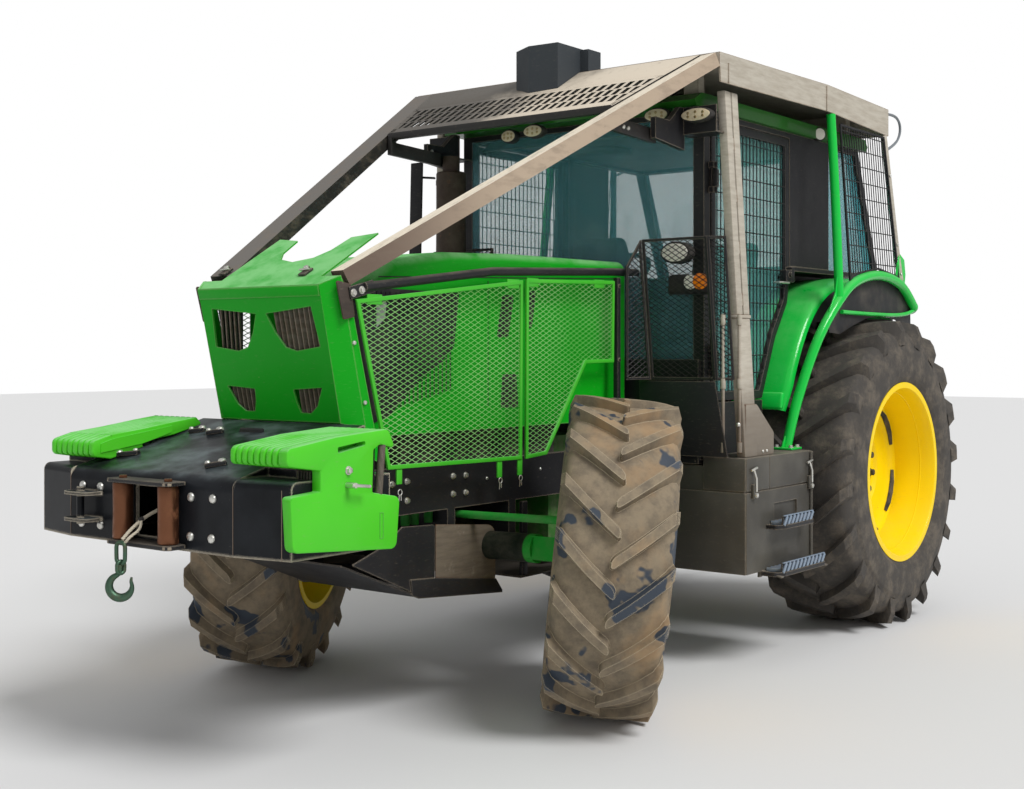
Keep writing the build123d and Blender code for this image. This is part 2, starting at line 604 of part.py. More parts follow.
def build_ballast():
    """The weights that hang on the winch box's left end, and those laid on its right."""
    grip = box((440, 800), (-4143, -4006), (1190, 1212))
    shapes = []
    for index in range(WEIGHT_COUNT):
        x = WINCH_HALF + 3 + index * WEIGHT_PITCH
        shapes.append(rounded_prism(WEIGHT_HEAD, 9, x, x + WEIGHT_PITCH - 3) - grip)
    spine = side_prism([(-4300, 1165), (-4226, 1136), (-3972, 1136), (-3968, 1188), (-4140, 1188)],
                       WINCH_HALF + 3, WINCH_END_X + 3)
    outer = rounded_prism(WEIGHT_WHOLE, 9, WINCH_END_X + 2, WINCH_END_X + 46) - grip
    hung = fuse(spine, *shapes, outer)
    pitch = (LAID_X[1] - LAID_X[0]) / WEIGHT_COUNT
    laid = [side_prism([(-4300, 1185), (-4300, 1150), (-4250, 1140), (-4105, 1175), (-4105, 1190),
                        (-3960, 1212), (-3960, 1245),
                        (-4100, 1226), (-4250, 1208)], *LAID_X)]
    for index in range(WEIGHT_COUNT):
        x = LAID_X[0] + index * pitch
        laid.append(rounded_prism(WEIGHT_LAID, 7, x, x + pitch - 3))
    keep("ballast_weights", hung, fuse(*laid))


def build_cab():
    """The tub with its floor, ledges and walls, then the frame of posts that stands on it."""
    tub = []
    wall = INNER_WALL_X
    floor = box((-CAB_HALF + 20, CAB_HALF - 20), (CAB_FRONT_Y, -960), (CAB_FLOOR_Z - 20, CAB_FLOOR_Z))
    fire_wall = box((-CAB_HALF + 20, CAB_HALF - 20), (CAB_FRONT_Y, CAB_FRONT_Y + 20), (CAB_FLOOR_Z, 1500))
    step_wall = box((-wall, wall), (-970, -950), (CAB_FLOOR_Z - 20, 1230))
    rear_floor = box((-wall, wall), (-970, 480), (1210, 1230))
    rear_wall = box((-wall, wall), (460, 480), (1210, SILL_Z))
    tub += [floor, fire_wall, step_wall, rear_floor, rear_wall]
    for side in (1, -1):
        inner = side_prism([(-970, CAB_FLOOR_Z - 20), (-970, 1500), (-720, SILL_Z - 25), (480, SILL_Z - 25),
                            (480, 1210), (-950, 1210)],
                           side * wall - 10, side * wall + 10)
        ledge = box(sorted((side * (wall - 10), side * CAB_HALF)), (-720, 480), (SILL_Z - 25, SILL_Z))
        sill = box(sorted((side * (CAB_HALF - 25), side * (CAB_HALF - 5))), (DOOR_FRONT_Y - 4, -1012),
                   (BOX_TOP_Z - 20, DOOR_LOW_Z - 8))
        tub += [inner, ledge, sill]
    keep("cab_tub", fuse(*tub))
    rear_top_y = CAB_REAR_TOP_Y
    posts = []
    for side in (1, -1):
        x = sorted((side * (CAB_HALF - 60), side * CAB_HALF))
        posts.append(box(x, (CAB_FRONT_Y + 22, -1570), (CAB_FLOOR_Z, CAB_TOP_Z)))
        posts.append(box(x, (-705, -640), (SILL_Z, CAB_TOP_Z)))
        posts.append(side_prism([(420, SILL_Z), (480, SILL_Z), (rear_top_y, CAB_TOP_Z),
                                 (rear_top_y - 60, CAB_TOP_Z)], *x))
        posts.append(box(x, (CAB_FRONT_Y + 22, rear_top_y), (CAB_TOP_Z - 30, CAB_TOP_Z)))
        blind = sorted((side * (CAB_HALF - 20), side * CAB_HALF))
        posts.append(box(blind, (-640, -215), (SILL_Z, CAB_TOP_Z - 30)))
        for z in DOOR_HINGE_Z:
            posts += [handed(hinge_lug(low), side) for low in (z - 31, z + HINGE_HIGH + 1)]
    posts.append(box((-CAB_HALF, CAB_HALF), (CAB_FRONT_Y + 22, -1570), (CAB_TOP_Z - 30, CAB_TOP_Z)))
    posts.append(box((-CAB_HALF, CAB_HALF), (rear_top_y - 60, rear_top_y), (CAB_TOP_Z - 30, CAB_TOP_Z)))
    keep("cab_frame", fuse(*posts))
    keep("cab_roof", side_prism([(-1750, CAB_TOP_Z + 1), (-1770, 2750), (-1700, 2790), (220, 2790),
                                 (260, 2750), (240, CAB_TOP_Z + 1)],
                                -790, 790))
    keep("windscreen", box((-699, 699), (CAB_FRONT_Y + 24, CAB_FRONT_Y + 32), (1501, CAB_TOP_Z - 31)))
    rear_pane = side_prism([(440, SILL_Z + 1), (448, SILL_Z + 1), (rear_top_y - 20, CAB_TOP_Z - 31),
                            (rear_top_y - 28, CAB_TOP_Z - 31)],
                           -699, 699)
    quarter = side_prism([(-214, SILL_Z + 1), (418, SILL_Z + 1), (rear_top_y - 64, CAB_TOP_Z - 31),
                          (-214, CAB_TOP_Z - 31)], 742, 748)
    keep("rear_windows", rear_pane, *on_both(quarter))


def hinge_lug(low):
    """A lug on the left front post, with its knuckle on the door's hinge line."""
    x, y = DOOR_HINGE
    leaf = box((CAB_HALF - 2, x + 2), (y - 22, y - 6), (low, low + 30))
    return fuse(leaf, rod((x, y, low), (x, y, low + 30), HINGE_R))


def build_doors():
    """Each door is a frame with its guard of welded wires, hinged at its front edge, and its glass."""
    outline = [(DOOR_FRONT_Y, DOOR_LOW_Z), (-1030, DOOR_LOW_Z), (-880, 1610), (-740, 1800),
               (DOOR_REAR_Y, 1900),
               (DOOR_REAR_Y, DOOR_TOP_Z), (DOOR_FRONT_Y, DOOR_TOP_Z)]
    rim = 45
    opening = [(DOOR_FRONT_Y + rim, DOOR_LOW_Z + rim), (-1030 - rim, DOOR_LOW_Z + rim), (-880 - 48, 1640),
               (-740 - 50, 1830),
               (DOOR_REAR_Y - rim, 1915), (DOOR_REAR_Y - rim, DOOR_TOP_Z - rim),
               (DOOR_FRONT_Y + rim, DOOR_TOP_Z - rim)]
    frame = side_prism(outline, 735, 765) - side_prism(opening, 730, 770)
    uprights = [box((757, 763), (y, y + 6), (DOOR_LOW_Z + 20, 2660))
                for y in range(DOOR_FRONT_Y + 110, -1100, 70)]
    uprights += [box((757, 763), (y, y + 6), (1350 + (y + 1100) * 2.0, 2660)) for y in range(-1090, -800, 70)]
    levels = [box((749, 755), (DOOR_FRONT_Y + 20, rear - 25), (z, z + 6))
              for z, rear in ((1450, -960), (1650, -860), (1850, -730), (2050, -720), (2250, -720),
                              (2450, -720))]
    latch = box((765, 800), (-800, DOOR_REAR_Y - 10), (1915, 1975))
    leaves = [box((765, 778), (DOOR_FRONT_Y, DOOR_FRONT_Y + 50), (z, z + HINGE_HIGH)) for z in DOOR_HINGE_Z]
    barrels = [rod((*DOOR_HINGE, z), (*DOOR_HINGE, z + HINGE_HIGH), HINGE_R) for z in DOOR_HINGE_Z]
    door = fuse(frame, *uprights, *levels, latch, *leaves, *barrels)
    pane = side_prism(opening, 738, 744)
    for side in (1, -1):
        keep(f"door_{SIDE_NAME[side]}", handed(door, side))
        keep(f"door_glass_{SIDE_NAME[side]}", handed(pane, side))


def build_roof_guard():
    """The roof plate with its side plates, the slatted visor on its arms, the risers and the outer posts."""
    top = box((-ROOF_HALF, ROOF_HALF), (ROOF_FRONT_Y, ROOF_REAR_Y), (ROOF_Z - 8, ROOF_Z))
    sides = on_both(side_prism([(ROOF_FRONT_Y + 10, 2810), (ROOF_FRONT_Y, ROOF_Z), (-620, 2972),
                                (ROOF_REAR_Y, ROOF_Z),
                                (ROOF_REAR_Y, 2795), (-620, 2830)], ROOF_HALF - 8, ROOF_HALF))
    lining = [box((-ROOF_HALF, ROOF_HALF), (ROOF_FRONT_Y, ROOF_FRONT_Y + 8), (2880, ROOF_Z)),
              box((-ROOF_HALF, ROOF_HALF), (ROOF_REAR_Y - 8, ROOF_REAR_Y), (2795, ROOF_Z))]
    feet = [box((side * 700 - 40, side * 700 + 40), (y, y + 60), (2791, ROOF_Z - 4)) for side in (1, -1)
            for y in (-1650, 60)]
    keep("roof_guard", fuse(top, *sides, *lining, *feet))

    def on_slope(x, y):
        return (x, y, ROOF_Z + RISER_SLOPE * (y - ROOF_FRONT_Y))

    band = plate([on_slope(-ROOF_HALF + 104, ROOF_FRONT_Y - 7), on_slope(ROOF_HALF - 104, ROOF_FRONT_Y - 7),
                  on_slope(775, -2018), on_slope(-775, -2018)], (0, 0.5, -1), 8)
    border = [plate([on_slope(side * 775, -2018), on_slope(side * 688, -2330), on_slope(side * 648, -2330),
                     on_slope(side * 735, -2018)],
                    (0, 0.5, -1), 30) for side in (1, -1)]
    front_bar = plate([on_slope(-688, -2330), on_slope(688, -2330), on_slope(694, -2300),
                       on_slope(-694, -2300)], (0, 0.5, -1), 40)
    slats = []
    for index in range(17):
        x = -720 + index * 90
        slats.append(plate([on_slope(max(-738, min(738, x)), -2021),
                            on_slope(max(-738, min(738, x + 22)), -2021),
                            on_slope(max(-662, min(662, x + 62)),
                                     -2310), on_slope(max(-662, min(662, x + 40)), -2310)],
                           (0, 0.5, -1), 6))
    slats = [slat for slat in slats if slat.volume > 2000]
    arm = side_prism([(-2335, 2628), (-2335, 2543), (-1945, 2525), (-1945, 2591), (-2290, 2607),
                      (-2290, 2640)], *ARM_X)
    keep("visor_grille", fuse(band, *border, front_bar, *slats, *on_both(arm)))
    low_y = NOSE_SIDE_TOP[1] + 50
    low = (NOSE_SIDE_TOP[0] - 52, low_y, NOSE_SIDE_TOP[2] + RISER_SLOPE * 50 - 37)
    high = (ROOF_HALF - 50, ROOF_FRONT_Y, ROOF_Z - 37)
    riser = beam(low, high, 98, 66) - box((0, 1100), (ROOF_FRONT_Y - 2, 0), (2000, 3100))
    keep("risers", *on_both(riser))
    post = leaning_post(POST_FOOT, POST_LEAN, BOX_TOP_Z + 1, POST_TOP_Z)
    gusset = side_prism([(-1612, BOX_TOP_Z + 1), (-1320, BOX_TOP_Z + 1), (-1320, 1140), (-1500, 1284),
                         (-1612, 1284)], 945, 980)
    keep("outer_posts", *on_both(fuse(post, gusset)))
    shelf = box((690, 900), (-1755, -1632), (2585, 2593))
    face = box((690, 900), (-1755, -1747), (2593, 2715))
    gusset = side_prism([(-2010, 2640), (-2010, 2540), (-1745, 2512), (-1745, 2715), (-1790, 2715),
                         (-1880, 2640)],
                        *GUSSET_X)
    keep("roof_brackets", *on_both(fuse(shelf, face, gusset) - post))


def build_cab_guards():
    """Meshes ahead of the cab beside the hood, and beside its rear windows."""
    panels = []
    for _, towards, corners in CAB_GUARD_FACETS:
        panels.append(panel_in([CAB_GUARD_CORNERS[corner] for corner in corners], towards, 20, 10, 84, 8, 30))
    lower = plate([(440, -1711, 1395), (866, -1711, 1395), (930, -1700, 1031), (440, -1700, 1031)],
                  (0, 1, 0), 8)
    post = box((404, 432), (-1892, -1864), (1075, 1900))
    keep("cab_front_guards", *on_both(fuse(*panels, lower)), *on_both(post))

    def leaning(y, z):
        return (GUARD_TOP_X + GUARD_SPREAD * (ROOF_Z - 153 - z), y, z)

    rear = panel_in([leaning(y, z) for y, z in REAR_GUARD], (1, 0, 0), 16, 12, 74, 6, 90)
    spots = [leaning(y, z) for y, z in REAR_GUARD_POST]
    rear_posts = [beam(start, end, 28, 28) for start, end in zip(spots, spots[1:])]
    keep("rear_side_guards", *on_both(fuse(rear, *rear_posts)))


def band_about(points, centre, thickness):
    """A curved sheet in Y and Z, thickened towards a centre."""
    inner = []
    for y, z in points:
        reach = hypot(y - centre[0], z - centre[1])
        share = (reach - thickness) / reach
        inner.append((centre[0] + (y - centre[0]) * share, centre[1] + (z - centre[1]) * share))
    return points + inner[::-1]


def build_fenders():
    wheel = (0, REAR_TYRE_R)
    arc = [(-985, 1240), (-950, 1370), (-830, 1590), (-680, 1765), (-480, 1890), (-200, 1950), (150, 1950),
           (420, 1860), (560, 1740)]
    green = side_prism(band_about(arc, wheel, 14), 538, 880)
    for side in (1, -1):
        keep(f"fender_{SIDE_NAME[side]}", handed(green, side))
    tubes = []
    for side in (1, -1):
        fender_tube = bent_tube([(side * x, y, z) for x, y, z in FENDER_TUBE], 22, 60)
        hoop = bent_tube([(side * x, y, z) for x, y, z in HOOP], 20, 200)
        stay = rod((side * 1000, 420, 1815), (side * 885, 420, 1850), 12)
        tubes.append(fuse(fender_tube, hoop, stay))
    keep("fender_tubes", *tubes)


def build_boxes():
    """The step box on the left and the fuel tank with its steps on the right."""
    body = fuse(box((600, BOX_HALF), (-1650, -935), (BOX_LOW_Z, CAB_FLOOR_Z - 24)),
                box((CAB_HALF + 4, BOX_HALF), (-1650, -935), (BOX_LOW_Z, BOX_TOP_Z)))
    seam = box((BOX_HALF - 3, BOX_HALF + 5), (-1655, -930), (862, 866))
    step_high = box((BOX_HALF, BOX_HALF + 90), (-1450, -1050), (676, 692))
    step_low = box((BOX_HALF - 20, BOX_HALF + 110), (-1500, -960), (438, 454))
    hangers = [box((BOX_HALF - 20, BOX_HALF - 8), (y, y + 30), (445, BOX_LOW_Z + 1)) for y in (-1480, -990)]
    latches = [Pos(BOX_HALF + 12, y, 880) * Box(24, 26, 90) for y in (-1590, -985)]
    left = fuse(body - seam, step_high, step_low, *hangers, *latches)
    keep("step_box_left", left)
    keep("fuel_tank_right", other_side(left))


def build_fittings():
    cases = fuse(flat_prism(ROOF_BOX, 2700, ROOF_BOX_TOP_Z),
                 box((140, 195), (-1801, -1690), (2700, ROOF_BOX_TOP_Z - 7)))
    slope_low = ROOF_Z + 2 + RISER_SLOPE * (-2100 - ROOF_FRONT_Y)
    below = side_prism([(-2100, slope_low), (ROOF_FRONT_Y, ROOF_Z + 2), (-1600, ROOF_Z + 2), (-1600, 2600),
                        (-2100, 2600)], -300, 300)
    keep("roof_box", cases - below)
    x, y = EXHAUST_PLACE
    stack = fuse(rod((x, y, 1290), (x, y, 2500), 82), rod((x, y, 2500), (x, y, 2580), 45))
    foot = box((x - 60, x + 60), (y, y + 130), (1300, 1360))
    keep("exhaust_stack", fuse(stack, foot))
    rails = on_both(bent_tube([(RAIL_X, -3660, 1790), (RAIL_X, -2860, 1886), (RAIL_X, -1930, 1926),
                               (RAIL_X, -1700, 1932)], 19, 400))
    keep("guard_rails", *rails)
    seat = fuse(box((-230, 230), (-560, -110), (1440, 1560)),
                side_prism([(-180, 1561), (-60, 1561), (20, 2200), (-70, 2220)], -220, 220))
    base = box((-170, 170), (-500, -150), (1231, 1440))
    keep("seat", fuse(seat, base))
    column = side_prism([(-1600, CAB_FLOOR_Z + 1), (-1420, CAB_FLOOR_Z + 1), (-1300, 1850), (-1480, 1930)],
                        -110, 110)
    wheel = Pos(0, -1260, 1960) * Rot(35, 0, 0) * Torus(190, 14)
    spokes = Pos(0, -1260, 1960) * Rot(35, 0, 0) * Box(380, 30, 10)
    shaft = rod((0, -1380, 1860), (0, -1262, 1957), 20)
    keep("steering_console", fuse(column, wheel, spokes, shaft))
    lamps = []
    for x, z, half in LAMPS:
        face = Plane((x, -1800, z), x_dir=(1, 0, 0), z_dir=(0, 1, 0)).location * Ellipse(half, 36)
        lamps.append(extrude(face, amount=45, dir=(0, 1, 0)))
    keep("roof_lamps", *lamps)


def build_hitch():
    """The three-point hitch, drawbar and their pivots."""

    def eye(point, wide, radius, tilt=0):
        return Pos(0, *point) * Rot(0, 90 - tilt, 0) * Cylinder(radius, wide)

    def eye_rod(start, end, wide, radius, tilt=0):
        bar = rod((0, *start), (0, *end), radius)
        return fuse(bar, eye(start, wide, 1.9 * radius), eye(end, wide, 1.9 * radius, tilt))

    link = eye_rod(LINK_PIVOT, LINK_BALL, LINK_EYE_WIDE, LINK_R,
                   LINK_BALL_TILT) - eye(LINK_BALL, 60, LINK_BORE_R, LINK_BALL_TILT)
    keep("lower_links", *on_both(Pos(LINK_X, 0, 0) * link))
    arm = eye_rod(LIFT_PIVOT, LIFT_EYE, 40, 26)
    shaft = rod((-LINK_X, *LIFT_PIVOT), (LINK_X, *LIFT_PIVOT), 34)
    keep("lift_arms", fuse(shaft, *[Pos(side * LINK_X, 0, 0) * arm for side in (1, -1)]))
    lift_rod = fuse(rod((0, LINK_ROD_EYE[0], LINK_ROD_EYE[1]), (0, LIFT_EYE[0], LIFT_EYE[1]), 16),
                    eye(LINK_ROD_EYE, 24, 30), eye(LIFT_EYE, 24, 30))
    keep("lift_rods", *[Pos(side * (LINK_X + 48), 0, 0) * lift_rod for side in (1, -1)])
    keep("drawbar", box((-45, 45), (-300, 560), (385, 419)) - Pos(0, 520, 400) * Cylinder(16.5, 80))


def main():
    build_wheels()
    build_front_axle()
    build_driveline()
    build_belly()
    build_hood()
    build_side_guards()
    build_nose()
    build_winch()
    build_rope()
    build_ballast()
    build_cab()
    build_doors()
    build_roof_guard()
    build_cab_guards()
    build_fenders()
    build_boxes()
    build_fittings()
    build_hitch()
    os.makedirs("parts", exist_ok=True)
    for node, shape in pieces.items():
        export_step(Pos(0, ORIGIN_Y, 0) * shape, f"parts/{node}.step")


if __name__ == "__main__":
    main()
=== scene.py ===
import json
import math

import bmesh
import bpy
from mathutils import Matrix, Vector


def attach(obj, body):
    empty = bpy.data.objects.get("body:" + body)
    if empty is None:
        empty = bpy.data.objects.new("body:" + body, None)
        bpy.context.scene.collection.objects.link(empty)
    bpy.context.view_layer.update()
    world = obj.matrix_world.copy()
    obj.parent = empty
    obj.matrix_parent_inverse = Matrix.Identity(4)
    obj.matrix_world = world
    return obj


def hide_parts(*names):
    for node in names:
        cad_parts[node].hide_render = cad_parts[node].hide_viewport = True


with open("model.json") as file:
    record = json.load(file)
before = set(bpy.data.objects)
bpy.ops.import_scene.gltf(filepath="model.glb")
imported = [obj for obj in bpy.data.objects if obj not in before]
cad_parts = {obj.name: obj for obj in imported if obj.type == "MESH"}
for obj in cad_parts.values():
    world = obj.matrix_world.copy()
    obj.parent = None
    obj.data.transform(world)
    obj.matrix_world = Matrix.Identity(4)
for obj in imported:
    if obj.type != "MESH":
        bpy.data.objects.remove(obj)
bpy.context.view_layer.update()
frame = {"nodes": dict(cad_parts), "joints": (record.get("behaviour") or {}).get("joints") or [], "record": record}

# The picture is 1024 by 789. Lengths are metres, X to the tractor's left, Y to its rear, Z up.
IMAGE_WIDTH = 1024
IMAGE_HEIGHT = 789
ORIGIN_Y = 1.665                # the rear axle's place along Y
FOCAL_PIXELS = 1391.6
HORIZON_ROW = 350.3
CAMERA_PLACE = (4.164, -7.58 + ORIGIN_Y, 1.545)
CAMERA_YAW = 37.62
SKY_STRENGTH = 0.55
SUN_STRENGTH = 2.2
SUN_FROM = (1.0, -0.12, 1.15)

# Directions
LEFT = (1, 0, 0)
REAR = (0, 1, 0)
FRONT = (0, -1, 0)
UP = (0, 0, 1)


def make_camera():
    """A level camera whose lens is shifted, so that uprights stay upright."""
    data = bpy.data.cameras.new("camera")
    data.sensor_width = 36
    data.lens = FOCAL_PIXELS / IMAGE_WIDTH * data.sensor_width
    data.shift_y = (HORIZON_ROW - IMAGE_HEIGHT / 2) / IMAGE_WIDTH
    camera = bpy.data.objects.new("camera", data)
    bpy.context.scene.collection.objects.link(camera)
    camera.location = CAMERA_PLACE
    camera.rotation_euler = (math.pi / 2, 0, math.radians(CAMERA_YAW))
    bpy.context.scene.camera = camera


make_camera()
bpy.context.scene.view_settings.view_transform = "Standard"

# Colours are linear red, green and blue, as the shader takes them.
LIME = (0.022, 0.43, 0.016, 1)
LIME_DEEP = (0.010, 0.16, 0.010, 1)
# A pale mint laid on the green paints' upward faces: a painted sunlit highlight.
PAINTED_HIGHLIGHT_MINT = (0.36, 0.74, 0.34, 1)
BLACK_PAINT = (0.012, 0.012, 0.014, 1)
BLACK_WORN = (0.034, 0.033, 0.034, 1)
PRIMER_CREAM = (0.55, 0.45, 0.33, 1)
DUST = (0.30, 0.25, 0.19, 1)
ROAD_MUD = (0.23, 0.17, 0.115, 1)
RUST = (0.17, 0.062, 0.022, 1)
GUARD_GREY = (0.25, 0.215, 0.18, 1)
GUARD_BROWN = (0.14, 0.10, 0.075, 1)


class Wire:
    """A shader socket that sums can be written on; each sum adds its Math node."""

    def __init__(self, tree, socket):
        self.tree = tree
        self.socket = socket

    def math(self, operation, *others):
        node = self.tree.nodes.new("ShaderNodeMath")
        node.operation = operation
        for entry, value in zip(node.inputs, (self, *others)):
            plug(self.tree, entry, value)
        return Wire(self.tree, node.outputs[0])

    def __add__(self, other):
        return self.math("ADD", other)

    def __radd__(self, other):
        return self.math("ADD", other)

    def __sub__(self, other):
        return self.math("SUBTRACT", other)

    def __rsub__(self, other):
        return (self * -1).math("ADD", other)

    def __mul__(self, other):
        return self.math("MULTIPLY", other)

    def __rmul__(self, other):
        return self.math("MULTIPLY", other)

    def clipped(self):
        return self.math("MAXIMUM", 0.0).math("MINIMUM", 1.0)


def plug(tree, entry, value):
    """Set a socket to a value, or link it to another socket."""
    if isinstance(value, Wire):
        tree.links.new(value.socket, entry)
    else:
        entry.default_value = value


class Finish:
    """One procedural material: its nodes, its patterns and its Principled shader."""

    def __init__(self, name, metallic=0.0, coat=0.0, shine=0.32):
        self.material = bpy.data.materials.new(name)
        self.material.use_nodes = True
        self.tree = self.material.node_tree
        self.shader = self.tree.nodes["Principled BSDF"]
        self.shader.inputs["Metallic"].default_value = metallic
        self.shader.inputs["Coat Weight"].default_value = coat
        self.shader.inputs["Coat Roughness"].default_value = 0.08
        self.shader.inputs["Specular IOR Level"].default_value = shine
        self.place = self.node("ShaderNodeTexCoord", output="Object")

    def node(self, kind, settings=None, values=None, output=0):
        """Any node, from its settings, which go first, and the values or links of its sockets."""
        made = self.tree.nodes.new(kind)
        for name, value in (settings or {}).items():
            if name == "stops":
                for number, (where, colour) in enumerate(value):
                    if number > 1:
                        made.color_ramp.elements.new(where)
                    made.color_ramp.elements[number].position = where
                    made.color_ramp.elements[number].color = colour
            else:
                setattr(made, name, value)
        for name, value in (values or {}).items():
            plug(self.tree, made.inputs[name], value)
        return Wire(self.tree, made.outputs[output])

    def stretched(self, scale, turn=(0, 0, 0)):
        """The place, scaled by axis and turned, for streaks and brush marks."""
        return self.node("ShaderNodeMapping", {}, {"Vector": self.place, "Scale": scale, "Rotation": turn})

    def noise(self, scale, detail=4.0, roughness=0.6, place=None):
        values = {"Vector": place or self.place, "Scale": scale, "Detail": detail, "Roughness": roughness}
        return self.node("ShaderNodeTexNoise", {}, values)

    def spots(self, scale, place=None):
        values = {"Vector": place or self.place, "Scale": scale}
        return self.node("ShaderNodeTexVoronoi", {}, values, output="Distance")

    def waves(self, letter, scale):
        """Even waves along one axis."""
        values = {"Vector": self.place, "Scale": scale}
        return self.node("ShaderNodeTexWave", {"bands_direction": letter}, values, output="Fac")

    def step(self, value, low, high):
        """0 below low, 1 above high and smooth between."""
        values = {"Value": value, "From Min": low, "From Max": high}
        return self.node("ShaderNodeMapRange", {"interpolation_type": "SMOOTHSTEP"}, values)

    def mix(self, share, first, second):
        values = {0: share, 6: first, 7: second}
        return self.node("ShaderNodeMix", {"data_type": "RGBA"}, values, output=2)

    def axis(self, letter):
        """The place's coordinate along one axis."""
        return self.node("ShaderNodeSeparateXYZ", {}, {"Vector": self.place}, output=letter)

    def upward(self):
        """1 on what faces up, where dust lies."""
        normal = self.node("ShaderNodeNewGeometry", output="Normal")
        return self.node("ShaderNodeSeparateXYZ", {}, {"Vector": normal}, output="Z")

    def edges(self, width):
        """1 along sharp edges: how far the normal turns within a width."""
        flat = self.node("ShaderNodeNewGeometry", output="Normal")
        rounded = self.node("ShaderNodeBevel", {"samples": 4}, {"Radius": width})
        turn = self.node("ShaderNodeVectorMath", {"operation": "DOT_PRODUCT"}, {0: flat, 1: rounded},
                         output="Value")
        return 1 - turn

    def bump(self, height, strength=0.3, distance=0.002):
        values = {"Height": height, "Strength": strength, "Distance": distance}
        return self.node("ShaderNodeBump", {}, values)

    def done(self, **values):
        names = {"colour": "Base Color", "roughness": "Roughness", "metallic": "Metallic", "normal": "Normal",
                 "alpha": "Alpha", "glow": "Emission Color"}
        for name, value in values.items():
            plug(self.tree, self.shader.inputs[names[name]], value)
        return self.material


def paint(name, colour, shade, gloss=0.32, coat=0.25, dust=0.35, chips=0.0, chip_colour=PRIMER_CREAM,
          wear=0.35, dust_and_highlight_tone=DUST, shine=0.32):
    """Sprayed paint: slow drifts of tone, a veil on upward faces, scuffs, and chips along the edges. The veil is
    real dust where its tone is DUST, and a painted sunlit highlight where it is the pale mint of the greens.
    """
    f = Finish(name, coat=coat, shine=shine)
    drift = f.step(f.noise(2.2, 3), 0.35, 0.7)
    base = f.mix(drift * wear, colour, shade)
    scuff = f.step(f.noise(34, 6, 0.7, f.stretched((1, 1, 3.5))), 0.56, 0.74)
    base = f.mix(scuff * 0.16, base, DUST)
    # The veil on upward faces: real dust in DUST, a painted sunlit highlight in the greens' pale mint.
    film = f.step(f.upward(), 0.25, 0.90) * f.step(f.noise(7, 6, 0.65), 0.22, 0.62)
    base = f.mix(film * dust, base, dust_and_highlight_tone)
    height = f.noise(420, 2) * 0.25
    rough = f.noise(11, 5) * 0.18 + gloss + film * 0.3
    if chips:
        ragged = f.noise(48, 5, 0.75)
        edge = f.step(f.edges(0.012) + ragged * 0.36, 0.425, 0.46)
        patch = f.step(f.noise(16, 6, 0.7), 0.71, 0.735)
        chip = (edge + patch * 0.8).clipped() * chips
        base = f.mix(chip, base, chip_colour)
        rough = rough + chip * 0.25
        height = height - chip * 1.5
    return f.done(colour=base, roughness=rough.clipped(), normal=f.bump(height, 0.25, 0.0008))


def two_sided_bar(name):
    """The risers' paint, with tops lighter than sides as a painted sunlit highlight: the left one cream on top and
    beige beside, the right one dark grey.
    """
    f = Finish(name)
    left = f.step(f.axis("X"), -0.1, 0.1)
    top = f.step(f.upward(), 0.45, 0.75)
    tone = f.noise(6, 6, 0.65, f.stretched((4, 1, 4)))
    bleached = f.mix(f.step(f.axis("Y"), -2.0, -1.2), (0.15, 0.105, 0.08, 1), (0.46, 0.36, 0.265, 1))
    side = f.mix(left, (0.024, 0.022, 0.020, 1), bleached)
    # The tops: a painted sunlit highlight, cream on the left riser and grey on the right one.
    above = f.mix(left, (0.15, 0.137, 0.123, 1), (0.90, 0.80, 0.64, 1))
    base = f.mix(top, side, above)
    base = f.mix(f.step(tone, 0.45, 0.75) * 0.45, base, (0.20, 0.155, 0.115, 1))
    scuff = f.step(f.noise(40, 6, 0.75), 0.62, 0.68)
    base = f.mix(scuff * 0.3, base, (0.10, 0.08, 0.065, 1))
    return f.done(colour=base, roughness=tone * 0.2 + 0.38, normal=f.bump(f.noise(110, 4, 0.7), 0.25, 0.0008))


def winch_paint(name):
    """Glossy black with a painted bluish sheen on its upward faces, its paint torn off in ragged cream along the
    low edges.
    """
    f = Finish(name, coat=0.04, shine=0.12)
    drift = f.step(f.noise(3.5, 4), 0.4, 0.7)
    base = f.mix(drift * 0.5, (0.008, 0.009, 0.011, 1), (0.024, 0.027, 0.032, 1))
    low = f.step(f.axis("Z"), 0.90, 0.845)
    ragged = f.noise(30, 6, 0.8)
    torn = f.step(f.edges(0.020) + ragged * 0.5 + low * 0.10, 0.47, 0.49)
    base = f.mix(torn * 0.9, base, (0.62, 0.55, 0.43, 1))
    scratch = f.step(f.noise(60, 5, 0.8, f.stretched((1, 0.3, 2))), 0.68, 0.72)
    base = f.mix(scratch * 0.35, base, (0.20, 0.19, 0.18, 1))
    # A painted bluish sheen on the upward faces, in patches.
    film = f.step(f.upward(), 0.5, 0.95) * f.step(f.noise(5, 5, 0.6), 0.35, 0.8)
    base = f.mix(film * 0.55, base, (0.24, 0.30, 0.31, 1))
    return f.done(colour=base, roughness=(f.noise(12, 5) * 0.2 + 0.22 + torn * 0.3).clipped(),
                  normal=f.bump(f.noise(200, 3) - torn, 0.2, 0.0008))


def visor_paint(name):
    """The visor's paint: black below, with a painted sunlit cream on its upward faces, more so towards the left,
    the sun's side.
    """
    f = Finish(name)
    top = f.step(f.upward(), 0.3, 0.7)
    # How much of the upward faces takes the painted sunlit cream, growing towards the left.
    painted_sunlit_share = f.step(f.axis("X") + f.noise(2.5, 5, 0.65) * 1.3, 0.35, 0.95)
    base = f.mix(top * (painted_sunlit_share * 0.75 + 0.12), (0.030, 0.028, 0.027, 1), (0.80, 0.70, 0.56, 1))
    tone = f.step(f.noise(18, 7, 0.75), 0.55, 0.7)
    base = f.mix(tone * 0.35, base, (0.16, 0.125, 0.095, 1))
    return f.done(colour=base, roughness=tone * 0.2 + 0.42, normal=f.bump(f.noise(140, 4, 0.7), 0.25, 0.0008))


